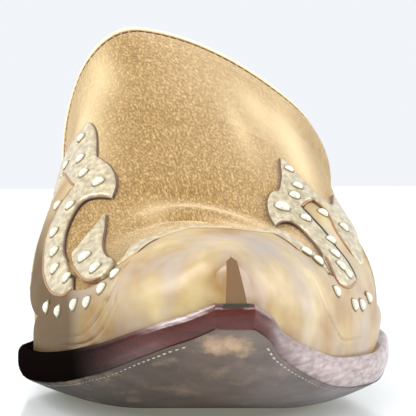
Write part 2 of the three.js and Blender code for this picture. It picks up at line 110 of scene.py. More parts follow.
tipShare = last["tipWidth"] / last["ballWidth"]
outline = columns("along centre medial lateral", [
    [0, 0.86, tipShare, tipShare],
    [0.014, 0.8, 0.183, 0.175],
    [0.041, 1, 0.317, 0.297],
    [0.103, 0.91, 0.532, 0.52],
    [0.162, 0.73, 0.699, 0.691],
    [0.259, 0.33, 0.902, 0.898],
    [0.328, 0.12, 0.987, 0.979],
    [0.372, 0.03, 1, 1.002],
    [0.431, 0, 0.959, 0.996],
    [0.517, 0, 0.772, 0.914],
    [0.621, 0, 0.569, 0.721],
    [0.707, 0, 0.538, 0.62],
    [0.793, 0, 0.599, 0.63],
    [0.869, 0, 0.64, 0.64],
    [1, 0, 0.64, 0.64],
])
profile = columns("along toe heel thick medialLift lateralLift twist", [
    [0, 1, 0, 0.78, 0, 0, 0],
    [0.021, 0.854, 0, 0.82, 0.04, 0.04, 0.3],
    [0.041, 0.725, 0, 0.85, 0.1, 0.1, 0.7],
    [0.083, 0.502, 0, 0.9, 0.32, 0.32, 1],
    [0.131, 0.292, 0, 0.95, 0.55, 0.55, 1],
    [0.2, 0.102, 0, 1, 0.83, 0.83, 0.58],
    [0.276, 0.007, 0, 1, 0.96, 1, 0.2],
    [0.317, 0, 0, 1, 0.93, 1.05, 0],
    [0.379, 0, 0, 1, 0.75, 1.15, 0],
    [0.441, 0, 0, 1, 0.56, 1.2, 0],
    [0.517, 0, 0.085, 1, 0.4, 0.95, 0],
    [0.603, 0, 0.293, 1, 0.22, 0.5, 0],
    [0.69, 0, 0.573, 1, 0.08, 0.16, 0],
    [0.776, 0, 0.8, 1, 0, 0, 0],
    [0.862, 0, 0.907, 1, 0, 0, 0],
    [1, 0, 1, 1, 0, 0, 0],
])
sections = columns("along inset medial lateral rise toe climb ridge medialRound lateralRound", [
    [0.0124, 1.4, 0.01, 0.005, 0.05, 0.8, 0, 0, 1.5, 1.5],
    [0.019, 1.28, 0.04, 0.016, 0.067, 0.875, 0, 0, 1.6, 1.6],
    [0.0276, 1.12, 0.06, 0.026, 0.087, 0.94, 0, 0, 1.7, 1.7],
    [0.048, 0.98, 0.1, 0.042, 0.117, 0.985, 0, -0.03, 1.8, 1.8],
    [0.103, 0.79, 0.125, 0.053, 0.167, 1, 0, -0.07, 1.9, 1.9],
    [0.162, 0.87, 0.15, 0.063, 0.217, 1, 0.006, -0.07, 2, 2],
    [0.259, 0.9, 0.06, 0.063, 0.3, 1, 0.04, 0, 2.1, 2.1],
    [0.328, 0.98, 0.05, 0.084, 0.333, 1, 0.149, 0.16, 2.15, 2.15],
    [0.372, 1, 0.06, 0.084, 0.367, 1, 0.258, 0.24, 2.2, 2.1],
    [0.431, 1.04, 0.22, 0.105, 0.417, 1, 0.398, 0.38, 2.15, 2],
    [0.517, 0.92, 0.54, 0.25, 0.667, 1, 0.606, 0.61, 2.1, 1.85],
    [0.59, 0.84, 0.9, 0.56, 0.833, 1, 0.775, 0.78, 2.12, 1.7],
    [0.69, 0.52, 0.64, 0.96, 0.933, 1, 1, 1, 2.15, 1.5],
    [0.793, 0.6, 0.39, 0.68, 1, 1, 1.163, 0.98, 2, 1.6],
    [0.862, 0.65, 0.31, 0.6, 1, 1, 1.243, 0.98, 2, 1.6],
])
topline = columns("around end", [
    [0, 0.828], [0.12, 0.786], [0.24, 0.741], [0.34, 0.71], [0.42, 0.6945], [0.5, 0.69],
    [0.6, 0.692], [0.7, 0.692], [0.8, 0.71], [0.9, 0.7655], [1, 0.828],
])["end"]
capEdge = columns("around end", [
    [0, 0.34], [0.045, 0.325], [0.08, 0.295], [0.105, 0.262], [0.125, 0.225], [0.145, 0.188],
    [0.165, 0.164], [0.185, 0.153], [0.215, 0.15], [0.24, 0.16], [0.27, 0.172], [0.31, 0.2],
    [0.335, 0.211], [0.365, 0.214], [0.4, 0.221], [0.435, 0.233], [0.465, 0.232], [0.5, 0.222],
    [0.56, 0.219], [0.6, 0.223], [0.637, 0.242], [0.67, 0.23], [0.708, 0.215], [0.74, 0.205],
    [0.765, 0.195], [0.8, 0.18], [0.835, 0.196], [0.87, 0.24], [0.9, 0.278], [0.93, 0.305],
    [0.96, 0.328], [1, 0.34],
])["end"]

length = last["length"]
ballHalf = last["ballWidth"] / 2
soleThick = last["outsole"] + last["welt"]


def centreAt(along):
    return -last["inflare"] * outline["centre"](along / length)


def plainHalf(along, side):
    share = along / length
    return ballHalf * np.where(side < 0, outline["medial"](share), outline["lateral"](share))


def halfAt(along, side):
    start, power = last["heelRoundAt"], last["heelRoundPower"]
    past = np.clip((along / length - start) / (1 - start), 0, 1) * 0.998
    return plainHalf(along, side) * (1 - past ** power) ** (1 / power)


def insetHalf(along, side, margin):
    # half width of an outline that stays inside the sole's by a margin, also round the heel's back
    start = last["heelRoundAt"] * length
    back = length - start
    stretched = start + (along - start) * back / (back - margin)
    narrower = 1 - margin / (last["heelShare"] * ballHalf)
    return halfAt(np.where(along < start, along, stretched), side) * narrower


def underside(along, x):
    share = along / length
    off = x - centreAt(along)
    reach = off / plainHalf(along, off)
    outer = np.maximum(0, (np.abs(reach) - last["flatShare"]) / (1 - last["flatShare"]))
    lift = np.where(off < 0, profile["medialLift"](share), profile["lateralLift"](share))
    return (last["toeSpring"] * profile["toe"](share) + last["heelHeight"] * profile["heel"](share)
            + last["edgeLift"] * lift * outer ** 2
            - last["toeTwist"] * profile["twist"](share) * reach)


def layerTop(along, x, thick):
    return underside(along, x) + thick * profile["thick"](along / length)


def featherHalf(along, side):
    return halfAt(along, side) - last["weltWidth"] * sections["inset"](along / length)


def sideCurves(along, side, low=16, high=72):
    share = along / length
    centre = centreAt(along)
    foot = featherHalf(along, side)
    if side < 0:
        flare, power = last["medialFlare"] * sections["medial"](share), sections["medialRound"](share)
    else:
        flare, power = last["lateralFlare"] * sections["lateral"](share), sections["lateralRound"](share)
    footHeight = layerTop(along, centre + side * foot, soleThick) + last["gap"]
    rise = last["flareHeight"] * sections["rise"](share)
    climb = (last["instepHeight"] - last["toeHeight"]) * sections["climb"](share)
    crown = last["toeHeight"] * sections["toe"](share) + climb
    ridge = centre - last["ridge"] * sections["ridge"](share)
    s = (np.arange(low) / low)[None, :]
    lowX = (centre + side * foot)[:, None] + side * flare[:, None] * (1 - (1 - s) ** 1.8)
    lowZ = footHeight[:, None] + rise[:, None] * s
    angle = (np.arange(high + 1) / high * math.pi / 2)[None, :]
    out = np.maximum(0, np.cos(angle)) ** (2 / power)[:, None]
    up = np.sin(angle) ** (2 / power)[:, None]
    highX = ridge[:, None] + (centre + side * (foot + flare) - ridge)[:, None] * out
    highZ = (footHeight + rise)[:, None] + (crown - footHeight - rise)[:, None] * up
    return np.concatenate([lowX, highX], 1), np.concatenate([lowZ, highZ], 1)


# The last as a fine lattice of points and outward normals, read off by bilinear interpolation
latticeAlong = np.concatenate([np.arange(3.6, 14, 0.12), np.arange(14, 252, 0.6)])
latticeLanes = 401


def lastLattice():
    points = np.zeros((len(latticeAlong), latticeLanes, 3))
    half = (latticeLanes + 1) // 2
    share = np.linspace(0, 1, half)
    for side in (-1, 1):
        xs, zs = sideCurves(latticeAlong, side)
        for i in range(len(latticeAlong)):
            run = np.concatenate([[0], np.cumsum(np.hypot(np.diff(xs[i]), np.diff(zs[i])))])
            run /= run[-1]
            x, z = np.interp(share, run, xs[i]), np.interp(share, run, zs[i])
            if side < 0:
                points[i, :half, 0], points[i, :half, 2] = x, z
            else:
                points[i, half - 1:, 0], points[i, half - 1:, 2] = x[::-1], z[::-1]
    points[:, :, 1] = (latticeAlong - last["heelCentre"])[:, None]
    back = np.gradient(points, latticeAlong, axis=0)
    across = np.gradient(points, axis=1)
    normal = np.cross(across, back)
    normal /= np.linalg.norm(normal, axis=2, keepdims=True)
    if normal[200, latticeLanes // 2, 2] < 0:
        normal = -normal
    return points, normal


lastPoints, lastNormals = lastLattice()


def readLattice(grid, along, around):
    # grid is lastPoints or lastNormals
    along = np.clip(along, latticeAlong[0], latticeAlong[-1])
    i = np.clip(np.searchsorted(latticeAlong, along) - 1, 0, len(latticeAlong) - 2)
    u = ((along - latticeAlong[i]) / (latticeAlong[i + 1] - latticeAlong[i]))[..., None]
    lane = np.clip(around, 0, 1) * (latticeLanes - 1)
    j = np.minimum(lane.astype(int), latticeLanes - 2)
    v = (lane - j)[..., None]
    return ((grid[i, j] * (1 - v) + grid[i, j + 1] * v) * (1 - u)
            + (grid[i + 1, j] * (1 - v) + grid[i + 1, j + 1] * v) * u)


def onLast(along, around, height):
    along, around = np.broadcast_arrays(np.asarray(along, float), np.asarray(around, float))
    height = np.broadcast_to(np.asarray(height, float), along.shape)
    outward = readLattice(lastNormals, along, around)
    return readLattice(lastPoints, along, around) + outward * height[..., None]


# Nose: where it starts along the shoe at the welt and at the crown, how far it leans, how sharply
# its leather juts out and half the width of its facet
nose = {"foot": 4.0, "crown": 8.0, "lean": 1.0, "sharp": 2.5, "facet": 2.7}


def noseAlong(up):
    return nose["foot"] + (nose["crown"] - nose["foot"]) * up


def noseLine(up, side, height):
    along = noseAlong(up)
    footCentre = centreAt(np.array(nose["foot"]))
    foot = layerTop(np.array(nose["foot"]), footCentre, soleThick) + last["gap"]
    crown = readLattice(lastPoints, np.array([nose["crown"]]), np.array([0.5]))[0, 2]
    lean = nose["lean"] * up
    facet = nose["facet"] * (1 - 0.62 * up) * np.clip((0.96 - up) / 0.08, 0, 1)
    facet = facet * np.clip(height / 1.3, 0, 1)
    return np.stack([
        centreAt(along) + side * facet,
        along - last["heelCentre"] - nose["sharp"] * height * np.cos(lean),
        foot + (crown - foot) * up + nose["sharp"] * height * np.sin(lean),
    ], -1)


def shell(share, around, end, height):
    # points at a share of the way from the nose to an end line, at a height over the last
    share, around = np.broadcast_arrays(share, around)
    up = 2 * np.minimum(around, 1 - around)
    start = noseAlong(up)
    height = np.broadcast_to(height, share.shape)
    points = onLast(start + share * (end - start), around, height)
    first = share[:, 0] == 0
    if first.any():
        points[first] = noseLine(up[first], np.where(around[first] < 0.5, -1, 1), height[first])
    return points


def polyDistance(along, around, path):
    # distance in millimetres from each point to a path of (along, around) corners
    px, py = along, around * last["girth"]
    best = np.full(np.shape(px), 1e9)
    where = np.zeros(np.shape(px))
    corners = np.array(path, float)
    cx, cy = corners[:, 0], corners[:, 1] * last["girth"]
    pieces = len(cx) - 1
    for i in range(pieces):
        dx, dy = cx[i + 1] - cx[i], cy[i + 1] - cy[i]
        s = np.clip(((px - cx[i]) * dx + (py - cy[i]) * dy) / (dx * dx + dy * dy + 1e-9), 0, 1)
        d = np.hypot(px - cx[i] - s * dx, py - cy[i] - s * dy)
        nearer = d < best
        best = np.where(nearer, d, best)
        where = np.where(nearer, (i + s) / pieces, where)
    return best, where


def smoothPath(corners, step=0.7):
    # Catmull-Rom through the corners, resampled evenly
    c = np.array(corners, float)
    p = np.vstack([2 * c[0] - c[1], c, 2 * c[-1] - c[-2]])
    out = []
    for i in range(1, len(p) - 2):
        for s in np.linspace(0, 1, 16, endpoint=False):
            out.append(0.5 * ((2 * p[i]) + (p[i + 1] - p[i - 1]) * s
                              + (2 * p[i - 1] - 5 * p[i] + 4 * p[i + 1] - p[i + 2]) * s ** 2
                              + (3 * p[i] - p[i - 1] - 3 * p[i + 1] + p[i + 2]) * s ** 3))
    out.append(c[-1])
    out = np.array(out)
    flat = out * [1, last["girth"]]
    run = np.concatenate([[0], np.cumsum(np.linalg.norm(np.diff(flat, axis=0), axis=1))])
    n = max(3, int(run[-1] / step) + 1)
    even = np.linspace(0, run[-1], n)
    return np.stack([np.interp(even, run, out[:, 0]), np.interp(even, run, out[:, 1])], 1)


# Soft troughs (below zero) and ridges (above) in the suede: path, half width, depth
creases = [
    ([(80, 0.34), (82.5, 0.41), (79.5, 0.46), (75.5, 0.5), (67, 0.54), (62, 0.57)], 2.2, -1.1),
    ([(80, 0.40), (76.4, 0.44), (74, 0.472), (71.2, 0.5), (65, 0.52)], 1.9, 1.0),
    ([(92, 0.34), (95, 0.42), (93, 0.5), (86, 0.58), (80, 0.64)], 4.5, -0.7),
    ([(88, 0.38), (88, 0.46), (83, 0.54), (76, 0.6)], 2.8, 0.6),
    ([(140, 0.62), (165, 0.66), (190, 0.68)], 9.0, -1.2),
    ([(120, 0.40), (150, 0.38), (180, 0.36)], 9.0, 0.5),
]


def creaseAt(along, around):
    total = np.zeros(np.broadcast(along, around).shape)
    for path, width, depth in creases:
        near, where = polyDistance(along, around, smoothPath(path, 4))
        taper = np.sin(np.pi * np.clip(where, 0.02, 0.98)) ** 0.6
        total += depth * taper * np.exp(-((near / width) ** 2))
    return total


# Meshes
def newPiece(name, verts, faces, materials, slot, nodes=(), faceMaterial=None, sharp=None):
    mesh = bpy.data.meshes.new(name)
    mesh.from_pydata((np.asarray(verts) * 0.001).tolist(), [], [list(f) for f in faces])
    for material in materials:
        mesh.materials.append(material)
    if faceMaterial is not None:
        mesh.polygons.foreach_set("material_index", np.asarray(faceMaterial, dtype=np.int32))
    mesh.polygons.foreach_set("use_smooth", [True] * len(mesh.polygons))
    mesh.update()
    if sharp is not None:
        mesh.set_sharp_from_angle(angle=math.radians(sharp))
    piece = bpy.data.objects.new(name, mesh)
    bpy.context.scene.collection.objects.link(piece)
    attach(piece, "root")
    if nodes:
        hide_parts(*nodes)
    return piece


def gridFaces(rows, lanes, closed=False, flip=False, offset=0):
    faces = []
    width = lanes if closed else lanes - 1
    for i in range(rows - 1):
        for j in range(width):
            k = (j + 1) % lanes
            quad = (offset + i * lanes + j, offset + i * lanes + k,
                    offset + (i + 1) * lanes + k, offset + (i + 1) * lanes + j)
            faces.append(quad[::-1] if flip else quad)
    return faces


def tubeAlong(points, normals, radius, sides=8, flatten=1.0):
    # a cord through the points, lying on the surface with these normals
    points = np.asarray(points, float)
    tangent = np.gradient(points, axis=0)
    tangent /= np.linalg.norm(tangent, axis=1, keepdims=True) + 1e-12
    across = np.cross(tangent, normals)
    across /= np.linalg.norm(across, axis=1, keepdims=True) + 1e-12
    up = np.cross(across, tangent)
    radius = np.broadcast_to(radius, len(points))
    verts = []
    for i in range(len(points)):
        for k in range(sides):
            a = 2 * math.pi * k / sides
            verts.append(points[i] + radius[i] * (across[i] * math.cos(a) + flatten * up[i] * math.sin(a)))
    faces = gridFaces(len(points), sides, closed=True)
    faces.append(tuple(range(sides))[::-1])
    faces.append(tuple(range((len(points) - 1) * sides, len(points) * sides)))
    return verts, faces


def gather(parts):
    # many small bodies as one list of vertices and faces
    verts, faces = [], []
    for v, f in parts:
        base = len(verts)
        verts.extend(v)
        faces.extend(tuple(base + i for i in face) for face in f)
    return verts, faces


def surfaceCord(path, height, radius, flatten=1.0, taper=True, step=0.7):
    line = smoothPath(path, step)
    h = height(line[:, 0], line[:, 1]) if callable(height) else height
    points = onLast(line[:, 0], line[:, 1], h)
    normals = readLattice(lastNormals, line[:, 0], line[:, 1])
    size = np.full(len(line), radius)
    if taper:
        ends = np.minimum(np.arange(len(line)), np.arange(len(line))[::-1])
        size = radius * np.clip((ends + 1) / 4, 0.25, 1)
    return tubeAlong(points, normals, size, 8, flatten)


# Colours and materials
def linear(hexColour):
    values = [int(hexColour[i:i + 2], 16) / 255 for i in (1, 3, 5)]
    return tuple(c / 12.92 if c <= 0.04045 else ((c + 0.055) / 1.055) ** 2.4 for c in values) + (1.0,)


def addNode(tree, kind, inputs=None, **settings):
    node = tree.nodes.new(kind)
    for key, value in settings.items():
        setattr(node, key, value)
    for key, value in (inputs or {}).items():
        if isinstance(value, bpy.types.NodeSocket):
            tree.links.new(value, node.inputs[key])
        else:
            node.inputs[key].default_value = value
    return node


def newMaterial(name, colour, **inputs):
    material = bpy.data.materials.new(name)
    material.use_nodes = True
    tree = material.node_tree
    shader = tree.nodes["Principled BSDF"]
    shader.inputs["Base Color"].default_value = linear(colour)
    for key, value in inputs.items():
        shader.inputs[key].default_value = value
    return material, tree, shader


def noise(tree, millimetres, detail=3.0, roughness=0.55, stretch=None):
    # features about this many millimetres across, in the shoe's own space
    place = addNode(tree, "ShaderNodeTexCoord").outputs["Object"]
    if stretch:
        place = addNode(tree, "ShaderNodeMapping", {"Vector": place, "Scale": stretch}).outputs["Vector"]
    return addNode(tree, "ShaderNodeTexNoise", {
        "Vector": place, "Scale": 1000 / millimetres, "Detail": detail, "Roughness": roughness,
    }).outputs["Fac"]


def ramp(tree, factor, stops):
    node = addNode(tree, "ShaderNodeValToRGB", {"Fac": factor})
    elements = node.color_ramp.elements
    for i, (place, colour) in enumerate(stops):
        element = elements[i] if i < 2 else elements.new(place)
        element.position = place
        element.color = colour if isinstance(colour, tuple) else linear(colour)
    return node.outputs["Color"]


def mix(tree, factor, first, second, blend="MIX"):
    return addNode(tree, "ShaderNodeMixRGB", {"Fac": factor, "Color1": first, "Color2": second},
                   blend_type=blend).outputs["Color"]


def maths(tree, operation, *values):
    return addNode(tree, "ShaderNodeMath", dict(enumerate(values)), operation=operation).outputs[0]


def attribute(tree, name):
    return addNode(tree, "ShaderNodeAttribute", attribute_name=name).outputs["Fac"]


def fade(tree, shader, amount, changes):
    # each socket goes from its first value to its second as the amount goes from 0 to 1
    for socket, first, second in changes:
        node = addNode(tree, "ShaderNodeMapRange", {"Value": amount, "To Min": first, "To Max": second})
        tree.links.new(node.outputs["Result"], shader.inputs[socket])


def bump(tree, shader, height, distance, strength=1.0):
    node = addNode(tree, "ShaderNodeBump", {"Height": height, "Distance": distance, "Strength": strength})
    tree.links.new(node.outputs["Normal"], shader.inputs["Normal"])


def brushedSuede():
    # Split suede with a brushed nap: dry and grainy head on, pale and glowing where it turns away. Its base
    # colour is made pale in patches, partly brushed nap and partly a painted highlight of the side light on
    # the flanks
    material, tree, shader = newMaterial("suedeBrushed", "#C9A567", **{
        "Roughness": 0.95, "Sheen Weight": 1.0, "Sheen Roughness": 0.34, "Sheen Tint": linear("#FFE9C4"),
        "Specular IOR Level": 0.15})
    nap = addNode(tree, "ShaderNodeAttribute", attribute_name="nap").outputs["Vector"]
    fibre, clump = (addNode(tree, "ShaderNodeTexNoise", {
        "Vector": nap, "Scale": scale, "Detail": detail, "Roughness": roughness}).outputs["Fac"]
        for scale, detail, roughness in ((1.6, 4.0, 0.7), (0.6, 2.0, 0.5)))
    grain = mix(tree, 0.2, fibre, clump)
    tone = ramp(tree, grain, [(0.41, "#5F441D"), (0.61, "#C2A570"), (0.51, "#886733")])
    patches = ramp(tree, noise(tree, 26, 3, 0.5), [(0.3, "#8A6833"), (0.7, "#A98752")])
    body = mix(tree, 0.25, tone, patches)
    # pale patches: partly brushed nap, partly a painted highlight of the side light
    body = mix(tree, attribute(tree, "brushed_and_highlight"), body, linear("#E9D2A2"))
    body = mix(tree, attribute(tree, "rim"), body, linear("#F0DFB8"))
    tree.links.new(body, shader.inputs["Base Color"])
    bump(tree, shader, grain, 0.0005, 0.7)
    return material


def waxedCalf():
    # Smooth waxed calf: a soft sheen, golden where it is rubbed, with streaks of grey bloom and broader grey
    # patches that are partly a painted reflection of the bright right side, and a painted shade low on the
    # medial side
    material, tree, shader = newMaterial("waxedCalf", "#C6AA76", **{
        "Roughness": 0.42, "Coat Weight": 0.18, "Coat Roughness": 0.25, "Specular IOR Level": 0.35})
    clouds = noise(tree, 18, 3, 0.55, (1, 0.6, 1))
    bloom_and_reflection = noise(tree, 26, 3, 0.55, (1.8, 0.8, 0.6))
    base = ramp(tree, clouds, [(0.34, "#8C662E"), (0.68, "#C2AE80"), (0.5, "#A78C5A")])
    grey = ramp(tree, bloom_and_reflection, [(0.48, (0, 0, 0, 1)), (0.62, (1, 1, 1, 1))])
    base = mix(tree, maths(tree, "MULTIPLY", grey, 0.6), base, linear("#A3988F"))
    # broader grey patches: partly wax bloom, partly a painted reflection of the bright right side
    base = mix(tree, attribute(tree, "bloom_and_reflection"), base, linear("#938983"))
    # painted shade low on the medial side, where the neighbouring shoe shades it: darker and less glossy
    painted_shade = attribute(tree, "painted_shade")
    tree.links.new(mix(tree, painted_shade, base, linear("#46300F")), shader.inputs["Base Color"])
    fade(tree, shader, painted_shade, (
        ("Roughness", 0.42, 0.6), ("Coat Weight", 0.18, 0.0), ("Specular IOR Level", 0.35, 0.06)))
    bump(tree, shader, noise(tree, 1.6, 2, 0.5), 0.00012, 0.5)
    return material


def noseShadeCalf():
    # The same calf on the nose's facet: darker, a painted shade where the facet faces away from the light
    return newMaterial("waxedCalfNoseShade", "#765732", **{"Roughness": 0.38, "Coat Weight": 0.2})[0]


def pearlCalf():
    # Calf with a pearl finish: pale grey-cream, slightly metallic where it catches the light
    material, tree, shader = newMaterial("pearlCalf", "#DBD3B8", **{
        "Roughness": 0.34, "Metallic": 0.1, "Coat Weight": 0.4, "Coat Roughness": 0.2})
    cloud = noise(tree, 1.5, 2, 0.5, (1, 0.5, 1))
    tree.links.new(ramp(tree, cloud, [(0.34, "#948463"), (0.66, "#C2B492"), (0.5, "#AB9C78")]),
                   shader.inputs["Base Color"])
    bump(tree, shader, cloud, 0.0002, 0.4)
    return material


def pearlDome():
    # Moulded pearl stud: glossy and almost white
    return newMaterial("pearlDome", "#DED8C4", **{
        "Roughness": 0.16, "Coat Weight": 0.8, "Coat Roughness": 0.08})[0]


def antiqueSetting():
    # Antiqued metal rim round a stud: a dull grey-brown ring
    return newMaterial("antiqueSetting", "#7C7150", **{"Roughness": 0.5, "Metallic": 0.15})[0]


def edgeDye():
    # Leather edge, dyed burgundy, waxed and burnished: mirror bright at a low angle. Pale mauve on the
    # lateral side is a painted reflection of bright light, and dull black on the medial side is a painted
    # dark reflection and shade
    material, tree, shader = newMaterial("edgeDyeBurnished", "#5A261B", **{"Coat Roughness": 0.12})
    streak = noise(tree, 9, 3, 0.6, (1, 1, 6))
    painted_dark_reflection = attribute(tree, "painted_dark_reflection")
    # painted reflection: pale mauve where bright light would be mirrored in the edge
    dyed = mix(tree, attribute(tree, "painted_reflection"), ramp(tree, streak, [(0.3, "#3A120A"), (0.75, "#5C2012")]),
               ramp(tree, noise(tree, 5, 3, 0.6, (1, 1, 5)), [(0.35, "#8C7470"), (0.65, "#C9BAB8")]))
    # painted dark reflection and shade: near black and matt on the medial side
    tree.links.new(mix(tree, painted_dark_reflection, dyed, linear("#0B0706")), shader.inputs["Base Color"])
    fade(tree, shader, painted_dark_reflection, (
        ("Roughness", 0.3, 0.5), ("Coat Weight", 0.45, 0.0), ("Specular IOR Level", 0.2, 0.0)))
    bump(tree, shader, noise(tree, 2.2, 3, 0.6, (1, 1, 3)), 0.00025, 0.5)
    return material


def wornSole():
    # Leather outsole, walked on: grey-brown, scuffed through to the bare hide at the toe and the ball. It is
    # darker towards the medial side as painted shade and pale bluish towards the lateral side as a painted
    # reflection
    material, tree, shader = newMaterial("soleLeatherWorn", "#6A6262", **{
        "Roughness": 0.6, "Specular IOR Level": 0.2})
    grime = noise(tree, 14, 4, 0.6)
    scuff = noise(tree, 7, 4, 0.65, (1, 0.4, 1))
    place = addNode(tree, "ShaderNodeSeparateXYZ", {0: addNode(tree, "ShaderNodeTexCoord").outputs["Object"]})
    # painted shade and reflection across the sole: dark on the medial side, pale bluish on the lateral side
    side = addNode(tree, "ShaderNodeMapRange", {
        "Value": place.outputs["X"], "From Min": -0.045, "From Max": 0.04})
    tint = ramp(tree, side.outputs["Result"], [(0.0, "#3A3228"), (1.0, "#E6F0FF"), (0.45, "#C4BAAE")])
    base = mix(tree, 1.0, ramp(tree, grime, [(0.3, "#7E736F"), (0.7, "#A69B97")]), tint, "MULTIPLY")
    rubbed_and_shaded = ramp(tree, scuff, [(0.54, (0, 0, 0, 1)), (0.7, (1, 1, 1, 1))])
    wear = attribute(tree, "wear")
    ragged = maths(tree, "MULTIPLY_ADD", maths(tree, "ADD", scuff, -0.5), 1.6, wear)
    patch = addNode(tree, "ShaderNodeMapRange", {"Value": ragged, "From Min": 0.36, "From Max": 0.78})
    amount = maths(tree, "MAXIMUM", maths(tree, "MULTIPLY", rubbed_and_shaded, 0.28), patch.outputs["Result"])
    tree.links.new(mix(tree, amount, base, linear("#B79B7E")), shader.inputs["Base Color"])
    bump(tree, shader, scuff, 0.0003, 0.4)
    return material


liftThickness = 3.4


def stackedLeather():
    # Lifts of leather glued, sanded and dyed: fine dark lines between the layers
    material, tree, shader = newMaterial("heelLeatherStacked", "#45221A", **{
        "Roughness": 0.3, "Coat Weight": 0.6, "Coat Roughness": 0.15})
    place = addNode(tree, "ShaderNodeTexCoord").outputs["Object"]
    # a wave texture of scale 1 has a period of pi tenths
    lifts = addNode(tree, "ShaderNodeTexWave", {
        "Vector": place, "Scale": 1000 / liftThickness * math.pi / 10, "Distortion": 0.2, "Detail": 1.0,
    }, wave_type="BANDS", bands_direction="Z").outputs["Fac"]
    layer = ramp(tree, lifts, [(0.03, "#1E0E0A"), (0.14, "#482419"), (0.9, "#573024")])
    tint = ramp(tree, noise(tree, 4, 3, 0.6, (1, 1, 5)), [(0.3, "#6A5A54"), (0.7, "#FFFFFF")])
    tree.links.new(mix(tree, 0.5, layer, tint, "MULTIPLY"), shader.inputs["Base Color"])
    return material


def liningHide():
    # Pigskin lining: matt tan with a close pore
    material, tree, shader = newMaterial("liningHide", "#C4A06A", **{"Roughness": 0.75})
    tone = ramp(tree, noise(tree, 30, 2), [(0.3, "#B8935C"), (0.7, "#D2B280")])
    tree.links.new(tone, shader.inputs["Base Color"])
    bump(tree, shader, noise(tree, 1.4, 2, 0.5), 0.0002, 0.4)
    return material


# the second calf is the nose facet's, darkened as painted shade
suede, cap, rubbed_and_shaded, pearl = brushedSuede(), waxedCalf(), noseShadeCalf(), pearlCalf()
dome, setting, dye = pearlDome(), antiqueSetting(), edgeDye()
soleHide, stack, lining = wornSole(), stackedLeather(), liningHide()
# Cut edge of the suede, paler than its face
cutEdge = newMaterial("suedeCutEdge", "#EBD7AC", **{"Roughness": 0.9, "Sheen Weight": 0.3})[0]
# Waxed linen thread in dark brown
brownThread = newMaterial("linenThreadBrown", "#5E3C20", **{"Roughness": 0.7})[0]
# Dark painted leather edge that outlines the flames
darkEdge = newMaterial("leatherEdgePainted", "#5A3A28", **{"Roughness": 0.5})[0]
# Dark olive painted shade, for the shadow in a slit in the leather and in the gap at the nose
slitShade = newMaterial("slitShadePainted", "#2E2A1A", **{"Roughness": 0.5})[0]
# Folded calf piping, golden brown
piping = newMaterial("calfPiping", "#8E6330", **{"Roughness": 0.45, "Coat Weight": 0.2})[0]
# The same piping rubbed pale where it runs over the cap
rimPiping = newMaterial("calfPipingRubbed", "#C4A878", **{"Roughness": 0.45, "Coat Weight": 0.2})[0]
# Cream welt thread
creamThread = newMaterial("linenThreadCream", "#C6B99E", **{"Roughness": 0.7})[0]
# Moulded rubber top lift, dull and nearly black
liftRubber = newMaterial("rubberMoulded", "#2A2220", **{"Roughness": 0.75})[0]
print("materials made")


def mark(piece, name, values):
    # one number a vertex, for a material to read
    layer = piece.data.attributes.new(name, "FLOAT", "POINT")
    layer.data.foreach_set("value", np.asarray(values, np.float32).ravel())


# Where the suede is made pale, partly brushed nap and partly a painted highlight of the side light on the
# flanks and on the ridge above the cap: along, around, how far it reaches each way, how much
paleNapAndHighlightSpots = [
    (181, 0.405, 20, 0.035, 0.5), (158, 0.345, 30, 0.04, 0.6), (130, 0.31, 18, 0.03, 0.4),
    (170, 0.66, 18, 0.03, 0.4), (142, 0.608, 20, 0.018, 0.3), (160, 0.72, 30, 0.035, 0.55),
    (132, 0.715, 22, 0.03, 0.4), (74, 0.47, 4, 0.06, 0.35), (88, 0.4, 8, 0.03, 0.25),
]

# Upper, with one row of stitches in a shallow groove under its cut edge
upperLook = {"rows": 230, "lanes": 250, "rimRows": 8, "innerRows": 50, "tuck": 0.7}
toplineStitch = {"below": 2.9, "pitch": 2.4, "length": 2.0, "radius": 0.48, "groove": 0.5}


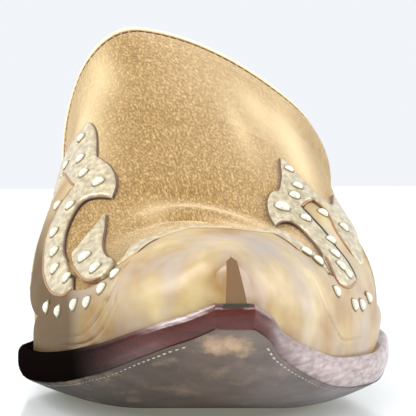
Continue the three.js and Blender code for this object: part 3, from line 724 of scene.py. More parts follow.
def buildUpper():
    n, lanes = upperLook["rows"], upperLook["lanes"]
    around = np.linspace(0, 1, lanes)[None, :]
    end = length * topline(around)
    ramped = np.linspace(0, 1, n) ** 1.25
    share = (1.16 * ramped - 0.16 * ramped ** 3)[:, None]
    up = 2 * np.minimum(around, 1 - around)
    along = noseAlong(up) + share * (end - noseAlong(up))
    below = end - along
    groove = -toplineStitch["groove"] * np.exp(-(((below - toplineStitch["below"]) / 0.8) ** 2))
    outer = shell(share, around, end, creaseAt(along, around) + groove)
    turn = np.linspace(0, math.pi, upperLook["rimRows"])[:, None]
    rim = onLast(end + 0.9 * np.sin(turn), around + 0 * turn, -last["wall"] / 2 * (1 - np.cos(turn)))
    inShare = np.linspace(1, 0.02, upperLook["innerRows"])[:, None]
    inner = onLast(noseAlong(up) + inShare * (end - noseAlong(up)), around + 0 * inShare, -last["wall"])
    points = np.concatenate([outer, rim[1:], inner[1:]], 0)
    points[:, 0, 2] -= upperLook["tuck"]
    points[:, -1, 2] -= upperLook["tuck"]
    faces = gridFaces(len(points), lanes)
    kinds = []
    for i in range(len(points) - 1):
        kind = 0 if i < n - 1 else (1 if i < n + upperLook["rimRows"] - 2 else 2)
        kinds.extend([kind] * (lanes - 1))
    piece = newPiece("upper_suede", points.reshape(-1, 3), faces, [suede, cutEdge, lining], "suede",
                     ["upper"], kinds)
    # the nap's own coordinates in mm, drawn out along the shoe, and the pale band above the stitches
    strand = np.zeros(points.shape)
    strand[:n, :, 0], strand[:n, :, 1] = along / 2.6, around * last["girth"]
    nap = piece.data.attributes.new("nap", "FLOAT_VECTOR", "POINT")
    nap.data.foreach_set("vector", strand.ravel().astype(np.float32))
    band = np.ones(points.shape[:2])
    band[:n] = np.clip((toplineStitch["below"] - 1.1 - below) / 0.5, 0, 1)
    mark(piece, "rim", band)
    # pale patches, partly brushed nap and partly a painted highlight where side light falls on the flanks
    paleAndHighlight = np.zeros(points.shape[:2])
    for spotAlong, spotAround, reachAlong, reachAround, amount in paleNapAndHighlightSpots:
        paleAndHighlight[:n] += amount * np.exp(-((along - spotAlong) / reachAlong) ** 2
                                    - ((around - spotAround) / reachAround) ** 2)
    mark(piece, "brushed_and_highlight", np.clip(paleAndHighlight, 0, 0.85))


buildUpper()
print("upper built")


def buildToplineStitches():
    around = np.linspace(0.01, 0.99, 900)
    along = length * topline(around) - toplineStitch["below"]
    points = onLast(along, around, creaseAt(along, around) - toplineStitch["groove"] + 0.12)
    normals = readLattice(lastNormals, along, around)
    run = np.concatenate([[0], np.cumsum(np.linalg.norm(np.diff(points, axis=0), axis=1))])
    parts = []
    # the row stops 3 mm before the topline's end
    for start in np.arange(1, run[-1] - 3, toplineStitch["pitch"]):
        at = np.linspace(start, start + toplineStitch["length"], 6)
        p = np.stack([np.interp(at, run, points[:, k]) for k in range(3)], 1)
        q = np.stack([np.interp(at, run, normals[:, k]) for k in range(3)], 1)
        size = toplineStitch["radius"] * np.array([0.45, 0.9, 1, 1, 0.9, 0.45])
        parts.append(tubeAlong(p, q, size, 6, 0.8))
    verts, faces = gather(parts)
    newPiece("topline_stitches", verts, faces, [brownThread], "suede")


buildToplineStitches()

# Toe cap: a rounded rear edge and two stitched grooves that sweep round each wing
capLook = {"rows": 130, "lanes": 300, "base": 0.3, "top": 1.35, "edge": 0.9}
capGrooves = [
    [(66, 0.045), (56, 0.045), (46, 0.05), (39, 0.08), (36, 0.12), (37, 0.18), (41, 0.25), (49, 0.32)],
    [(62, 0.028), (52, 0.025), (42, 0.032), (35, 0.06), (32, 0.11), (34, 0.17)],
    [(66, 0.955), (56, 0.95), (46, 0.945), (40, 0.91), (38, 0.86), (39, 0.8), (44, 0.73), (50, 0.68)],
]


def grooveAt(near):
    # a groove pressed by the stitching, with a soft ridge beside it
    return 0.14 * np.exp(-(((near - 1.3) / 0.7) ** 2)) - 0.3 * np.exp(-((near / 0.55) ** 2))


def paintedShadeAt(x, z):
    # painted shade low on the medial side, where the neighbouring shoe shades it: golden brown over a broad
    # patch, and dark at its outermost edge just over the welt
    edge = 0.88 * np.clip((-x - 29) / 11, 0, 1) ** 2 * np.clip((60 - z) / 23, 0, 1)
    return np.maximum(edge, 0.34 * np.clip((-x - 14) / 16, 0, 1) * np.clip((44 - z) / 18, 0, 1))


def capHeight(along, around):
    end = length * capEdge(around)
    edge = np.clip((end - along) / capLook["edge"], 0, 1)
    height = capLook["base"] + (capLook["top"] - capLook["base"]) * np.sqrt(1 - (1 - edge) ** 2)
    for path in capGrooves:
        near, where = polyDistance(along, around, smoothPath(path, 3))
        height = height + np.sin(np.pi * np.clip(where, 0, 1)) ** 0.7 * grooveAt(near)
    return height


def buildCap():
    n, lanes = capLook["rows"], capLook["lanes"]
    around = np.linspace(0, 1, lanes)[None, :]
    end = length * capEdge(around)
    up = 2 * np.minimum(around, 1 - around)
    # rows close together at the nose and at the rear edge
    share = (1 - (1 - np.linspace(0, 1, n)[:, None]) ** 1.5) ** 1.5
    along = noseAlong(up) + share * (end - noseAlong(up))
    points = shell(share, around, end, capHeight(along, around))
    points[:, 0, 2] -= upperLook["tuck"] * 0.6
    points[:, -1, 2] -= upperLook["tuck"] * 0.6
    faces = gridFaces(n, lanes)
    # the nose's facet takes the darker calf, a painted shade
    kinds = [0] * len(faces) + [1] * (lanes // 2 - 1)
    for j in range(lanes // 2 - 1):
        faces.append((j, lanes - 1 - j, lanes - 2 - j, j + 1))
    piece = newPiece("toe_cap_leather", points.reshape(-1, 3), faces, [cap, rubbed_and_shaded], "waxed_leather",
                     ["toe_cap"], kinds, 32)
    # painted shade low on the medial side
    mark(piece, "painted_shade", paintedShadeAt(points[:, :, 0], points[:, :, 2]))
    # grey patches on the lateral flank and near the middle: partly wax bloom, partly a painted reflection
    bloom_and_reflection = (0.75 * np.exp(-((along - 34) / 18) ** 2 - ((around - 0.62) / 0.06) ** 2)
             + 0.4 * np.exp(-((along - 40) / 20) ** 2 - ((around - 0.42) / 0.03) ** 2))
    mark(piece, "bloom_and_reflection", bloom_and_reflection)


buildCap()


def buildNoseGapShade():
    # painted shade: a dark cord for the shadow in the gap where the nose's facet meets the welt
    zero, full = np.zeros(1), np.full(1, capLook["top"])
    left, right = noseLine(zero, -1, full)[0], noseLine(zero, 1, full)[0]
    share = np.linspace(-0.12, 1.12, 12)[:, None]
    points = left + (right - left) * share + [0, -0.1, 1.0]
    verts, faces = tubeAlong(points, np.tile([0, -1.0, 0], (12, 1)), 0.45, 8, 0.8)
    newPiece("nose_gap_shade", verts, faces, [slitShade], "waxed_leather")


buildNoseGapShade()
print("toe cap built")

# Flames: outlines in shares of the length and of the way from the welt to the ridge. Each run
# says what edges it: painted, piped or plain.
flameRuns = {
    "flame_medial": (-1, [
        ("painted", [(0.539, 0.72), (0.516, 0.73), (0.489, 0.725), (0.45, 0.702)]),
        ("painted", [(0.45, 0.702), (0.419, 0.722), (0.402, 0.725),
                     (0.383, 0.72), (0.367, 0.705), (0.352, 0.675)]),
        ("painted", [(0.352, 0.675), (0.365, 0.635), (0.374, 0.585), (0.366, 0.53),
                     (0.344, 0.465), (0.31, 0.415), (0.284, 0.395)]),
        ("plain", [(0.284, 0.395), (0.255, 0.362)]),
        ("painted", [(0.255, 0.362), (0.234, 0.345), (0.213, 0.3)]),
        ("piped", [(0.213, 0.3), (0.222, 0.268), (0.25, 0.258), (0.28, 0.27),
                   (0.33, 0.32), (0.375, 0.39), (0.404, 0.475), (0.423, 0.585)]),
        ("piped", [(0.423, 0.585), (0.474, 0.572), (0.512, 0.545)]),
        ("painted", [(0.512, 0.545), (0.49, 0.46), (0.455, 0.37), (0.42, 0.29), (0.385, 0.225)]),
        ("plain", [(0.385, 0.225), (0.4, 0.195), (0.43, 0.2)]),
        ("painted", [(0.43, 0.2), (0.47, 0.26), (0.52, 0.32), (0.585, 0.37)]),
        ("painted", [(0.585, 0.37), (0.562, 0.44), (0.553, 0.52),
                     (0.547, 0.6), (0.538, 0.67), (0.539, 0.72)]),
    ]),
    "flame_medial_short": (-1, [
        ("painted", [(0.328, 0.63), (0.297, 0.592), (0.278, 0.562),
                     (0.249, 0.53), (0.214, 0.507), (0.193, 0.508)]),
        ("plain", [(0.193, 0.508), (0.18, 0.49), (0.168, 0.44), (0.168, 0.39)]),
        ("piped", [(0.168, 0.39), (0.182, 0.362), (0.2, 0.358), (0.228, 0.372), (0.255, 0.392)]),
        ("plain", [(0.255, 0.392), (0.284, 0.422), (0.292, 0.465),
                   (0.301, 0.515), (0.313, 0.57), (0.328, 0.63)]),
    ]),
    "flame_lateral": (1, [
        ("painted", [(0.443, 0.67), (0.417, 0.68), (0.388, 0.69), (0.352, 0.712)]),
        ("painted", [(0.352, 0.712), (0.344, 0.742), (0.328, 0.757),
                     (0.309, 0.761), (0.29, 0.755), (0.268, 0.735)]),
        ("painted", [(0.268, 0.735), (0.284, 0.71), (0.29, 0.67), (0.282, 0.625),
                     (0.266, 0.59), (0.247, 0.55), (0.224, 0.5)]),
        ("piped", [(0.224, 0.5), (0.206, 0.445), (0.193, 0.395),
                   (0.193, 0.355), (0.21, 0.325), (0.238, 0.33)]),
        ("slit", [(0.238, 0.33), (0.259, 0.42), (0.274, 0.48),
                  (0.292, 0.525), (0.313, 0.585), (0.332, 0.63)]),
        ("piped", [(0.332, 0.63), (0.347, 0.61), (0.36, 0.582)]),
        ("piped", [(0.36, 0.582), (0.352, 0.54), (0.335, 0.51),
                   (0.313, 0.485), (0.297, 0.445), (0.285, 0.395)]),
        ("plain", [(0.285, 0.395), (0.285, 0.35), (0.305, 0.335)]),
        ("painted", [(0.305, 0.335), (0.336, 0.368), (0.38, 0.4), (0.425, 0.425), (0.466, 0.435)]),
        ("painted", [(0.466, 0.435), (0.42, 0.465), (0.385, 0.495), (0.375, 0.53),
                     (0.392, 0.58), (0.425, 0.64), (0.443, 0.67)]),
    ]),
}
flameLook = {"base": 0.2, "top": 1.4, "edge": 0.7, "grid": 1.3}


# What edges a run: height over the last, radius and flattening of its cord
cordLook = {"painted": (0.5, 0.34, 1.0), "piped": (1.1, 0.42, 1.0), "slit": (1.0, 0.72, 0.8)}


def runPath(side, corners):
    return [(along * length, up / 2 if side < 0 else 1 - up / 2) for along, up in corners]


def inwardOf(loop):
    # unit vectors in the plane, pointing into a closed loop
    tangent = np.roll(loop, -1, 0) - np.roll(loop, 1, 0)
    tangent /= np.linalg.norm(tangent, axis=1, keepdims=True) + 1e-9
    area = 0.5 * np.sum(loop[:, 0] * np.roll(loop[:, 1], -1) - np.roll(loop[:, 0], -1) * loop[:, 1])
    return np.stack([-tangent[:, 1], tangent[:, 0]], 1) * (1 if area > 0 else -1)


def overlayPatch(name, outlinePoints, base, top, edge, material, slot, nodes=()):
    # a raised patch of leather inside a closed outline of (along, around)
    flat = np.asarray(outlinePoints) * [1, last["girth"]]
    closed = np.vstack([flat, flat[:1]])
    low, high = flat.min(0), flat.max(0)
    step = flameLook["grid"]
    columnsAt, rowsAt = np.arange(low[0], high[0], step), np.arange(low[1], high[1], step)
    gx, gy = np.meshgrid(columnsAt, rowsAt, indexing="ij")
    inside = np.zeros(gx.shape, bool)
    for (x1, y1), (x2, y2) in zip(closed[:-1], closed[1:]):
        crosses = ((y1 > gy) != (y2 > gy)) & (gx < (x2 - x1) * (gy - y1) / (y2 - y1 + 1e-12) + x1)
        inside ^= crosses
    path = closed / [1, last["girth"]]
    near, _ = polyDistance(gx, gy / last["girth"], path)
    keep = inside & (near > edge * 1.15)
    inward = inwardOf(flat)
    rings = []
    for inset in (0.12, 0.4, 1.0):
        ring = flat + inward * inset * edge
        far, _ = polyDistance(ring[:, 0], ring[:, 1] / last["girth"], path)
        rings.append(ring[far > 0.8 * inset * edge])
    every = np.vstack([flat] + rings + [np.stack([gx[keep], gy[keep]], 1)])
    edges = [(i, (i + 1) % len(flat)) for i in range(len(flat))]
    verts2d, _, faces, *_ = delaunay_2d_cdt([Vector(p) for p in every], edges, [], 1, 1e-5)
    plane = np.array([(v.x, v.y / last["girth"]) for v in verts2d])
    near, _ = polyDistance(plane[:, 0], plane[:, 1], path)
    rise = np.sqrt(1 - (1 - np.clip(near / edge, 0, 1)) ** 2)
    height = base + (top - base) * rise + creaseAt(plane[:, 0], plane[:, 1])
    points = onLast(plane[:, 0], plane[:, 1], height)
    faces = [f for f in faces if len(set(f)) == 3]
    a, b, c = (points[list(col)] for col in zip(*faces))
    normal = np.cross(b - a, c - a)
    outward = readLattice(lastNormals, plane[:, 0], plane[:, 1])[[f[0] for f in faces]]
    flipped = np.einsum("ij,ij->i", normal, outward) < 0
    faces = [f[::-1] if turn else f for f, turn in zip(faces, flipped)]
    return newPiece(name, points, faces, [material], slot, nodes)


def flameOutline(side, runs):
    corners = []
    for _, run in runs:
        corners.extend(smoothPath(runPath(side, run), 0.8)[:-1].tolist())
    return corners


# Tan wings under the flames: they fill the slit and carry the band of studs below it
wings = {
    "wing_medial": [(148, 0.27), (136, 0.29), (123, 0.293), (112, 0.24), (100, 0.2), (85, 0.165), (72, 0.15),
                    (60, 0.15), (50, 0.165), (44, 0.2), (43, 0.16), (46, 0.11), (60, 0.085), (78, 0.075),
                    (96, 0.075), (112, 0.09), (124, 0.12), (136, 0.18), (145, 0.235)],
    "wing_lateral": [(103, 0.705), (97, 0.69), (86, 0.715), (78, 0.765), (68, 0.80), (58, 0.80), (54, 0.785),
                     (50, 0.80), (52, 0.86), (60, 0.9), (72, 0.91), (84, 0.885), (92, 0.83), (98, 0.765)],
}
for name, corners in wings.items():
    ring = smoothPath(corners + corners[:1], 1.2)[:-1]
    piece = overlayPatch(name, ring, 0.2, 1.15, 0.6, cap, "waxed_leather")
    places = np.array([v.co for v in piece.data.vertices]) * 1000
    # painted shade low on the medial side
    mark(piece, "painted_shade", paintedShadeAt(places[:, 0], places[:, 2]))

cords = {kind: [] for kind in cordLook}
for name, (side, runs) in flameRuns.items():
    overlayPatch(name + "_pearl", flameOutline(side, runs), flameLook["base"], flameLook["top"],
                 flameLook["edge"], pearl, "pearl_leather", [name])
    for kind, run in runs:
        if kind in cordLook:
            cords[kind].append(surfaceCord(runPath(side, run), *cordLook[kind]))
newPiece("flame_painted_edges", *gather(cords["painted"]), [darkEdge], "pearl_leather")
# the slit's shadow drawn as a dark cord: painted shade
newPiece("flame_slit_shade", *gather(cords["slit"]), [slitShade], "pearl_leather")
newPiece("flame_piping", *gather(cords["piped"]), [piping], "waxed_leather")
print("flames built")

# Pearl strip laid over the cap's rear edge: its front line, where the rim piping runs
stripFront = columns("around share", [
    [0.24, 0.157], [0.268, 0.158], [0.3, 0.163], [0.335, 0.177], [0.375, 0.191], [0.415, 0.202],
    [0.45, 0.212], [0.5, 0.205], [0.56, 0.202], [0.6, 0.207], [0.63, 0.217], [0.652, 0.208],
    [0.68, 0.195], [0.7, 0.188], [0.728, 0.189], [0.757, 0.189], [0.785, 0.183],
])["share"]
# The strip's section: share of the way from its front line to the cap's edge, and height
stripSection = ((0, 1.2), (0.05, 1.5), (0.2, 1.62), (0.8, 1.6), (0.95, 1.35), (1.0, 0.3))


def stripLine(first, final, count, ahead=0.0):
    return [(float(length * stripFront(v)) - ahead, v) for v in np.linspace(first, final, count)]


def buildStrip():
    around = np.linspace(0.24, 0.785, 260)
    front, back = length * stripFront(around), length * capEdge(around)
    rows = []
    for share, height in stripSection:
        along = front + share * (back - front) + 0.3 * share
        rows.append(onLast(along, around, height + creaseAt(along, around)))
    faces = gridFaces(len(rows), len(around))
    newPiece("cap_pearl_strip", np.array(rows).reshape(-1, 3), faces, [pearl], "pearl_leather")
    rim = surfaceCord(stripLine(0.25, 0.775, 60, 0.2), 1.4, 0.32)
    newPiece("cap_rim_piping", *rim, [rimPiping], "waxed_leather")
    # painted lines: two short ones along the strip's front, and one along its back
    edge = [(float(length * capEdge(v)) + 0.5, v) for v in np.linspace(0.25, 0.78, 60)]
    ends = ((0.3, 0.37), (0.63, 0.7))
    painted = [surfaceCord(stripLine(first, final, 10, 0.8), 1.35, 0.3) for first, final in ends]
    painted.append(surfaceCord(edge, 0.5, 0.32))
    newPiece("strip_painted_edges", *gather(painted), [darkEdge], "pearl_leather")


buildStrip()

# Studs: a pearl dome in a thin ring, a little larger than the radius in the table
studLook = {"swell": 1.28, "height": 0.8, "sink": 0.1, "sides": 20, "levels": 6,
            "tube": 0.22, "tubeSides": 8, "ringOut": 0.16, "ringUp": 0.02}
# Their places: along in mm, around, radius in mm, height of what they sit on
studs = [
    (149.6, 0.338, 1.1, 1.4), (135.8, 0.325, 1.15, 1.4), (146.6, 0.29, 1.0, 1.4), (124.4, 0.318, 1.2, 1.4),
    (112.4, 0.33, 1.35, 1.4), (110.5, 0.268, 1.15, 1.4), (104.6, 0.217, 1.2, 1.4), (93.2, 0.195, 1.2, 1.4),
    (83.6, 0.172, 1.2, 1.4), (69.8, 0.168, 1.2, 1.4), (71.6, 0.223, 1.5, 1.4), (56.6, 0.212, 1.35, 1.4),
    (122, 0.25, 1.15, 1.15), (76.4, 0.1, 1.15, 1.35), (65, 0.098, 1.15, 1.35), (54.2, 0.117, 1.2, 1.35),
    (46.4, 0.125, 1.2, 1.35), (42.2, 0.163, 1.2, 1.35), (41.6, 0.212, 1.2, 1.35),
    (119, 0.672, 1.05, 1.4), (108.2, 0.68, 1.15, 1.4), (101, 0.672, 1.2, 1.4), (90.8, 0.647, 1.6, 1.4),
    (88.4, 0.693, 1.2, 1.4), (98.6, 0.728, 1.2, 1.15), (97.4, 0.772, 1.15, 1.4), (81.2, 0.748, 1.15, 1.4),
    (71, 0.765, 1.2, 1.4), (65.6, 0.79, 1.2, 1.4), (65.6, 0.812, 1.15, 1.3), (55.4, 0.715, 1.2, 1.6),
    (54.8, 0.748, 1.2, 1.6), (50, 0.83, 1.15, 1.35), (57.8, 0.875, 1.2, 1.35), (63.2, 0.882, 1.15, 1.35),
    (71, 0.877, 1.15, 1.35),
]


def roundAbout(side, other, count):
    # unit vectors at even steps round a circle
    turns = [2 * math.pi * k / count for k in range(count)]
    return [side * math.cos(turn) + other * math.sin(turn) for turn in turns]


def studDome(centre, up, outs, radius):
    # a flattened half sphere, sunk a little into the leather
    levels, count = studLook["levels"], len(outs)
    verts = []
    for level in range(levels):
        a = math.pi / 2 * level / levels
        for out in outs:
            dome = math.cos(a) * out + studLook["height"] * math.sin(a) * up
            verts.append(centre + radius * dome - studLook["sink"] * up)
    verts.append(centre + (studLook["height"] * radius - studLook["sink"]) * up)
    faces = gridFaces(levels, count, closed=True)
    top = (levels - 1) * count
    faces += [(top + k, top + (k + 1) % count, len(verts) - 1) for k in range(count)]
    return verts, faces


def studRing(centre, up, outs, radius):
    tube, sides, count = studLook["tube"], studLook["tubeSides"], len(outs)
    verts, faces = [], []
    for out in outs:
        for m in range(sides):
            a = 2 * math.pi * m / sides
            reach = radius + studLook["ringOut"] + tube * math.cos(a)
            verts.append(centre + out * reach + up * (tube * math.sin(a) + studLook["ringUp"]))
    for k in range(count):
        n = (k + 1) % count
        for m in range(sides):
            j = (m + 1) % sides
            faces.append((k * sides + m, n * sides + m, n * sides + j, k * sides + j))
    return verts, faces


def buildStuds():
    domes, rings = [], []
    for along, around, radius, height in studs:
        along, around = np.array([along]), np.array([around])
        centre = onLast(along, around, height + creaseAt(along, around))[0]
        up = readLattice(lastNormals, along, around)[0]
        side = np.cross(up, [0, 0, 1.0])
        side /= np.linalg.norm(side)
        outs = roundAbout(side, np.cross(up, side), studLook["sides"])
        domes.append(studDome(centre, up, outs, radius * studLook["swell"]))
        rings.append(studRing(centre, up, outs, radius * studLook["swell"]))
    newPiece("stud_domes", *gather(domes), [dome], "pearl_leather")
    newPiece("stud_settings", *gather(rings), [setting], "pearl_leather")


buildStuds()
print("studs set")


def eased(share):
    share = np.clip(share, 0, 1)
    return share * share * (3 - 2 * share)


def paintedDarkReflectionAt(x, along):
    # how black the sole's edge is painted, a dark reflection and shade of the neighbouring shoe: on the
    # medial side, fading out under the arch
    return eased(np.clip((-x - 20) / 20, 0, 1) * np.clip((225 - along) / 60, 0, 1))


def paintedReflectionAt(x):
    # how pale the sole's edge is painted, a reflection of the bright right side: on the lateral side
    return 0.62 * eased(x / 18)


# Sole: the outline walked once round, from the heel's back along the medial side
def solePerimeter(step=1.1):
    alongs = np.concatenate([np.linspace(length, 250, 60), np.linspace(250, 0, 300)[1:]])
    medial = np.stack([centreAt(alongs) - halfAt(alongs, -1), alongs], 1)
    lateral = np.stack([centreAt(alongs) + halfAt(alongs, 1), alongs], 1)[::-1]
    loop = np.vstack([medial, lateral, medial[:1]])
    run = np.concatenate([[0], np.cumsum(np.linalg.norm(np.diff(loop, axis=0), axis=1))])
    n = int(run[-1] / step)
    even = np.linspace(0, run[-1], n, endpoint=False)
    corner = [run[len(medial) - 1], run[len(medial)]]
    even = np.sort(np.concatenate([even, corner]))
    return np.stack([np.interp(even, run, loop[:, 0]), np.interp(even, run, loop[:, 1])], 1)


def edgeInset(share):
    # how far the burnished edge is rounded in, from the underside (0) to the welt's top (1)
    return 0.1 + 1.3 * np.abs(2 * share - 1) ** 3.2


outsoleLook = {"lanes": 60, "rows": 220, "sheetInset": 1.2, "seatInset": 1.3,
               "levels": (0.04, 0.12, 0.25, 0.4, 0.6, 0.8, 1.0)}
channelStitch = {"inset": 2.5, "pitch": 2.0, "length": 1.0, "radius": 0.34}


def soleRing(loop, inward, inset, level):
    # level 0 is the underside and 1 the outsole's top. The hidden medial side of the heel seat is
    # skived a little more, so that it stays behind the upper.
    seat = np.exp(-(((loop[:, 1:2] - 256) / 14) ** 4)) * (loop[:, 0:1] < 0)
    place = loop + inward * (inset + outsoleLook["seatInset"] * seat)
    bottom = underside(place[:, 1], place[:, 0])
    top = layerTop(place[:, 1], place[:, 0], last["outsole"]) + 0.12
    z = bottom + (top - bottom) * level
    return np.stack([place[:, 0], place[:, 1] - last["heelCentre"], z], 1)


def buildOutsole():
    loop = solePerimeter()
    inward = inwardOf(loop)
    part = last["outsole"] / soleThick
    steps = [(2.2, 0.0)] + [(edgeInset(part * level), level) for level in outsoleLook["levels"]]
    rings = [soleRing(loop, inward, inset, level) for inset, level in steps]
    points = np.vstack(rings)
    edgeFaces = gridFaces(len(rings), len(loop), closed=True)
    kinds = [1] * len(loop) + [0] * (len(edgeFaces) - len(loop))
    rows, lanes = outsoleLook["rows"], outsoleLook["lanes"]
    margin = outsoleLook["sheetInset"]
    alongs = margin + (length - 2 * margin) * (1 - np.cos(np.linspace(0, math.pi, rows))) / 2
    reach = np.linspace(-1, 1, lanes)[None, :]
    grid = alongs[:, None] + 0 * reach
    half = np.where(reach < 0, halfAt(grid, -1), halfAt(grid, 1)) - margin
    x = centreAt(grid) + reach * np.maximum(half, margin / 2)
    z = underside(grid, x)
    sheet = np.stack([x, grid - last["heelCentre"], z], -1).reshape(-1, 3)
    sheetFaces = gridFaces(rows, lanes, offset=len(points), flip=True)
    topZ = layerTop(grid, x, last["outsole"])
    lid = np.stack([x, grid - last["heelCentre"], topZ], -1).reshape(-1, 3)
    lidFaces = gridFaces(rows, lanes, offset=len(points) + len(sheet))
    piece = newPiece("outsole_leather", np.vstack([points, sheet, lid]), edgeFaces + sheetFaces + lidFaces,
                     [dye, soleHide], "sole_leather", ["outsole"],
                     kinds + [1] * len(sheetFaces) + [0] * len(lidFaces), 50)
    along = np.concatenate([np.tile(loop[:, 1], len(rings)), grid.ravel(), grid.ravel()])
    across = np.concatenate([np.tile(loop[:, 0], len(rings)), x.ravel(), x.ravel()]) - centreAt(along)
    toe = 0.85 * np.exp(-(((along - 7) / 6) ** 2) - (((across + 1) / 9) ** 2))
    ball = 0.45 * np.exp(-(((along - 105) / 30) ** 2) - ((across / 22) ** 2))
    mark(piece, "wear", np.clip(toe + ball, 0, 1))
    # painted dark reflection on the medial side, then painted pale reflection on the lateral side
    mark(piece, "painted_dark_reflection", paintedDarkReflectionAt(across + centreAt(along), along))
    mark(piece, "painted_reflection", paintedReflectionAt(across + centreAt(along)))


buildOutsole()


def buildChannelStitches():
    loop = solePerimeter(0.8)
    inward = inwardOf(loop)
    keep = (loop[:, 1] > 5) & (loop[:, 1] < 225)
    place = loop + inward * channelStitch["inset"]
    parts = []
    for side in (-1, 1):
        chosen = keep & (np.sign(loop[:, 0] - centreAt(loop[:, 1])) == side)
        line = place[chosen]
        run = np.concatenate([[0], np.cumsum(np.linalg.norm(np.diff(line, axis=0), axis=1))])
        for start in np.arange(1, run[-1] - 3, channelStitch["pitch"]):
            at = np.linspace(start, start + channelStitch["length"], 5)
            x, along = np.interp(at, run, line[:, 0]), np.interp(at, run, line[:, 1])
            z = underside(along, x) - 0.05
            points = np.stack([x, along - last["heelCentre"], z], 1)
            # worn thin away from the toe
            size = channelStitch["radius"] * (0.3 + 0.7 * np.exp(-((along[2] / 26) ** 4)))
            size = size * np.array([0.4, 0.9, 1, 0.9, 0.4])
            parts.append(tubeAlong(points, np.tile([0, 0, -1.0], (5, 1)), size, 6, 0.6))
    newPiece("channel_stitches", *gather(parts), [creamThread], "sole_leather")


buildChannelStitches()
print("outsole built")

# Welt: it ends just behind the upper, and its inner edge starts behind the toe's block
weltLook = {"stations": 190, "frontInner": 9.0, "blend": 30.0, "end": length * float(topline(0)) + 1.5,
            "levels": (0.0, 0.25, 0.5, 0.7, 0.85, 0.96)}


def innerHalf(along, side):
    return featherHalf(along, side) - last["weltLap"]


def buildWelt():
    n = weltLook["stations"]
    steps = np.concatenate([np.arange(n, -1, -1), np.arange(0, n + 1)]) / n
    side = np.array([-1] * (n + 1) + [1] * (n + 1))
    along = weltLook["end"] * steps ** 1.5
    front, blend = weltLook["frontInner"], weltLook["blend"]
    innerAlong = np.maximum(along, front + along * (1 - front / blend))
    outer = centreAt(along) + side * halfAt(along, side)
    inner = centreAt(innerAlong) + side * innerHalf(innerAlong, side)
    width = np.hypot(inner - outer, innerAlong - along)
    rings = []
    part = last["outsole"] / soleThick
    steps = [(edgeInset(part + (1 - part) * level), level) for level in weltLook["levels"]]
    # an inset of 99 is past the width, so it falls on the inner edge
    for inset, level in steps + [(1.9, 1.0), (3.0, 1.0), (99, 1.0), (99, 0.0)]:
        s = np.clip(inset / width, 0, 1)
        x = outer + (inner - outer) * s
        there = along + (innerAlong - along) * s
        low = layerTop(there, x, last["outsole"]) + 0.1
        high = layerTop(there, x, soleThick)
        rings.append(np.stack([x, there - last["heelCentre"], low + (high - low) * level], 1))
    points = np.array(rings).transpose(1, 0, 2)
    faces = gridFaces(points.shape[0], points.shape[1], closed=True)
    faces.append(tuple(range(points.shape[1])))
    piece = newPiece("welt_leather", points.reshape(-1, 3), faces, [dye], "sole_leather", ["welt"], None, 60)
    x = points[:, :, 0]
    # painted dark reflection and shade on the medial side
    mark(piece, "painted_dark_reflection", paintedDarkReflectionAt(x, points[:, :, 1] + last["heelCentre"]))
    # a painted highlight also lies along the welt on the medial side of the toe's block
    mark(piece, "painted_reflection", np.maximum(paintedReflectionAt(x), 0.7 * np.exp(-(((x + 18) / 6.5) ** 4))))


buildWelt()


# Insole with its sock: inside the welt, then wide over the heel seat
insoleLook = {"rows": 200, "lanes": 44, "start": 11.0, "gap": 0.8, "step": 0.4, "widening": 7.6,
              "lift": 0.4, "round": 0.9}


def insoleHalf(along, side):
    narrow = innerHalf(np.minimum(along, weltLook["end"]), side) - insoleLook["gap"]
    wide = insetHalf(along, side, last["insoleMargin"])
    blend = eased((along - weltLook["end"] - insoleLook["step"]) / insoleLook["widening"])
    return np.maximum(0.8, np.minimum(narrow + (wide - narrow) * blend, wide))


def buildInsole():
    rows, lanes = insoleLook["rows"], insoleLook["lanes"]
    first, final = insoleLook["start"], length - last["insoleMargin"]
    alongs = first + (final - first) * (1 - np.cos(np.linspace(0, math.pi, rows))) / 2
    reach = np.linspace(-1, 1, lanes)[None, :]
    grid = alongs[:, None] + 0 * reach
    half = np.where(reach < 0, insoleHalf(grid, -1), insoleHalf(grid, 1))
    x = centreAt(grid) + reach * half
    low = layerTop(grid, x, last["outsole"]) + insoleLook["lift"]
    edge = np.minimum((1 - np.abs(reach)) * half, np.minimum(grid - first, final - grid))
    rounding = insoleLook["round"]
    drop = rounding * (1 - np.sqrt(1 - (1 - np.clip(edge / rounding, 0, 1)) ** 2))
    top = np.stack([x, grid - last["heelCentre"], low + last["insole"] - drop], -1)
    bottom = np.stack([x, grid - last["heelCentre"], low], -1)
    points = np.vstack([top.reshape(-1, 3), bottom.reshape(-1, 3)])
    count = rows * lanes
    faces = gridFaces(rows, lanes) + gridFaces(rows, lanes, flip=True, offset=count)
    border = ([i * lanes for i in range(rows)]
              + [(rows - 1) * lanes + j for j in range(1, lanes)]
              + [i * lanes + lanes - 1 for i in range(rows - 2, -1, -1)]
              + [j for j in range(lanes - 2, 0, -1)])
    for a, b in zip(border, border[1:] + border[:1]):
        faces.append((a, b, b + count, a + count))
    newPiece("insole_sock", points, faces, [lining], "lining_leather", ["insole"], None, 50)


buildInsole()
print("welt and insole built")

heelLook = {"inset": 0.6, "levels": 14, "arc": 90}


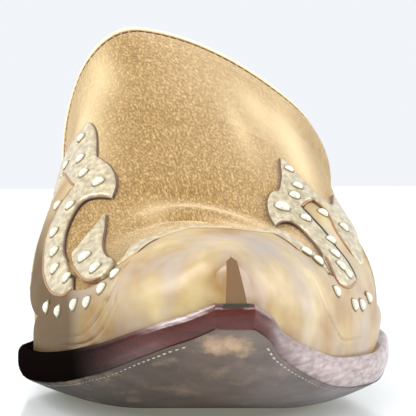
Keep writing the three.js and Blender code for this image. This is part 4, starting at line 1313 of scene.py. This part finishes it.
def heelRing(level, height, shrink=0.0):
    # closed section of the heel: breast straight across, back round. With no height given, the
    # section goes from the top lift (0) to the heel seat (1).
    share = np.sin(np.linspace(0, math.pi / 2, heelLook["arc"]))
    topAlong = last["breast"] + (length - heelLook["inset"] - last["breast"]) * share
    rings = []
    for side in (-1, 1):
        half = np.maximum(1.2, halfAt(topAlong, side) - heelLook["inset"])
        taper = 1 - (1 - last["heelTaper"]) * (1 - level ** 1.5)
        base = last["heelCentre"] - last["heelBase"] / 2 + last["heelBase"] * share
        along = base + (topAlong - base) * level ** 1.3
        seat = underside(topAlong, side * half) - last["gap"]
        z = np.full(len(share), height) if height is not None else (
            last["topLift"] + last["gap"] + (seat - last["topLift"] - last["gap"]) * level)
        rings.append(np.stack([side * half * taper * (1 - shrink), along - last["heelCentre"], z], 1))
    ring = np.vstack([rings[0], rings[1][::-1]])
    ring[:, 1] *= 1 - shrink
    return ring


def heelPiece(name, rings, material, slot, node):
    points = np.vstack(rings)
    count = len(rings[0])
    faces = gridFaces(len(rings), count, closed=True)
    faces.append(tuple(range(count))[::-1])
    faces.append(tuple(range((len(rings) - 1) * count, len(rings) * count)))
    newPiece(name, points, faces, [material], slot, [node], None, 40)


stackRings = [heelRing(level, None) for level in np.linspace(0, 1, heelLook["levels"])]
heelPiece("heel_stack_leather", stackRings, stack, "heel_leather", "heel_stack")
# the top lift's two edges are eased
liftRings = [heelRing(0, 0, 0.02), heelRing(0, 0.5), heelRing(0, last["topLift"] - 0.3),
             heelRing(0, last["topLift"], 0.01)]
heelPiece("heel_top_lift_rubber", liftRings, liftRubber, "heel_rubber", "heel_top_lift")
print("heel built")


# Floor, lights and camera
stageLook = {
    "floor": "#DADCE0",
    "glow": "#E9ECD8",
    "glowStrength": 0.19,
    "floorReach": 6.0,
    "floorBack": 0.68,
    "world": "#F4F7FC",
    "worldStrength": 0.98,
    "dark": "#3A3634",
    "front": "#4A4846",
}
# Softboxes in metres and watts: place, what they point at, size, power
softboxes = {
    "key_softbox": ((1.0, 0.1, 0.5), (0, -0.12, 0.05), (1.0, 0.8), 9),
    "fill_softbox": ((-0.9, 0.1, 0.8), (0, -0.12, 0.05), (0.6, 0.8), 15),
    "top_softbox": ((0, 0.3, 1.2), (0, -0.1, 0.05), (0.9, 0.9), 2),
    "strip_left": ((-0.55, -0.8, 0.32), (0, -0.25, 0.03), (0.5, 0.14), 2.4),
    "strip_right": ((0.6, -0.75, 0.3), (0, -0.25, 0.03), (0.5, 0.16), 2.4),
}
# Camera: the photo's own place and angle, in mm. It looks along the shoe, turned a little, and
# points to the right and down. The focal length is in pixels of a picture this wide.
view = {
    "x": -95.1,
    "along": -690.1,
    "height": 107.0,
    "turn": math.atan2(5.7, 106),
    "right": 0.06626,
    "down": 0.07213,
    "focal": 3045.0,
    "pictureWidth": 416,
    "sensor": 36,
}


def buildStage():
    mesh = bpy.data.meshes.new("floor")
    s, back = stageLook["floorReach"], stageLook["floorBack"]
    mesh.from_pydata([(-s, -s, 0), (s, -s, 0), (s, back, 0), (-s, back, 0)], [], [(0, 1, 2, 3)])
    floor = bpy.data.objects.new("floor", mesh)
    bpy.context.scene.collection.objects.link(floor)
    # White acrylic sheet, polished and lit a little from below: pale, a soft reflection, no black shadow
    mesh.materials.append(newMaterial("acrylicPolished", stageLook["floor"], **{
        "Roughness": 0.12, "Emission Color": linear(stageLook["glow"]),
        "Emission Strength": stageLook["glowStrength"]})[0])
    world = bpy.data.worlds.new("studio")
    bpy.context.scene.world = world
    world.use_nodes = True
    # a white tent, dark low at the front and low on the left
    tree = world.node_tree
    background = tree.nodes["Background"]
    background.inputs["Strength"].default_value = stageLook["worldStrength"]
    around = addNode(tree, "ShaderNodeTexCoord").outputs["Generated"]
    axes = addNode(tree, "ShaderNodeSeparateXYZ", {0: around})

    def within(axis, start, stop):
        return addNode(tree, "ShaderNodeMapRange", {
            "Value": axes.outputs[axis], "From Min": start, "From Max": stop,
        }, interpolation_type="SMOOTHSTEP").outputs["Result"]

    low = maths(tree, "MULTIPLY", within("X", -0.4, -0.8), within("Z", 0.42, 0.1))
    ahead = maths(tree, "MULTIPLY", within("Y", -0.6, -0.95), within("Z", 0.5, 0.15))
    tent = mix(tree, ahead, linear(stageLook["world"]), linear(stageLook["front"]))
    tree.links.new(mix(tree, low, tent, linear(stageLook["dark"])), background.inputs["Color"])


def areaLight(name, place, target, size, power):
    light = bpy.data.lights.new(name, "AREA")
    light.shape = "RECTANGLE"
    light.size, light.size_y = size
    light.energy = power
    lamp = bpy.data.objects.new(name, light)
    lamp.location = place
    lamp.rotation_euler = (Vector(target) - Vector(place)).to_track_quat("-Z", "Y").to_euler()
    bpy.context.scene.collection.objects.link(lamp)


def buildCamera():
    lens = bpy.data.cameras.new("photo_camera")
    lens.sensor_width = view["sensor"]
    lens.lens = view["focal"] / view["pictureWidth"] * view["sensor"]
    lens.clip_start, lens.clip_end = 0.05, 50
    camera = bpy.data.objects.new("photo_camera", lens)
    place = Vector((view["x"], view["along"] - last["heelCentre"], view["height"]))
    camera.location = place / 1000
    ahead = Vector((math.sin(view["turn"]), math.cos(view["turn"]), 0))
    right = Vector((math.cos(view["turn"]), -math.sin(view["turn"]), 0))
    aim = ahead + view["right"] * right - Vector((0, 0, view["down"]))
    camera.rotation_euler = aim.to_track_quat("-Z", "Y").to_euler()
    bpy.context.scene.collection.objects.link(camera)
    bpy.context.scene.camera = camera


buildStage()
for name, box in softboxes.items():
    areaLight(name, *box)
buildCamera()
bpy.context.scene.view_settings.view_transform = "Standard"
print("stage set")
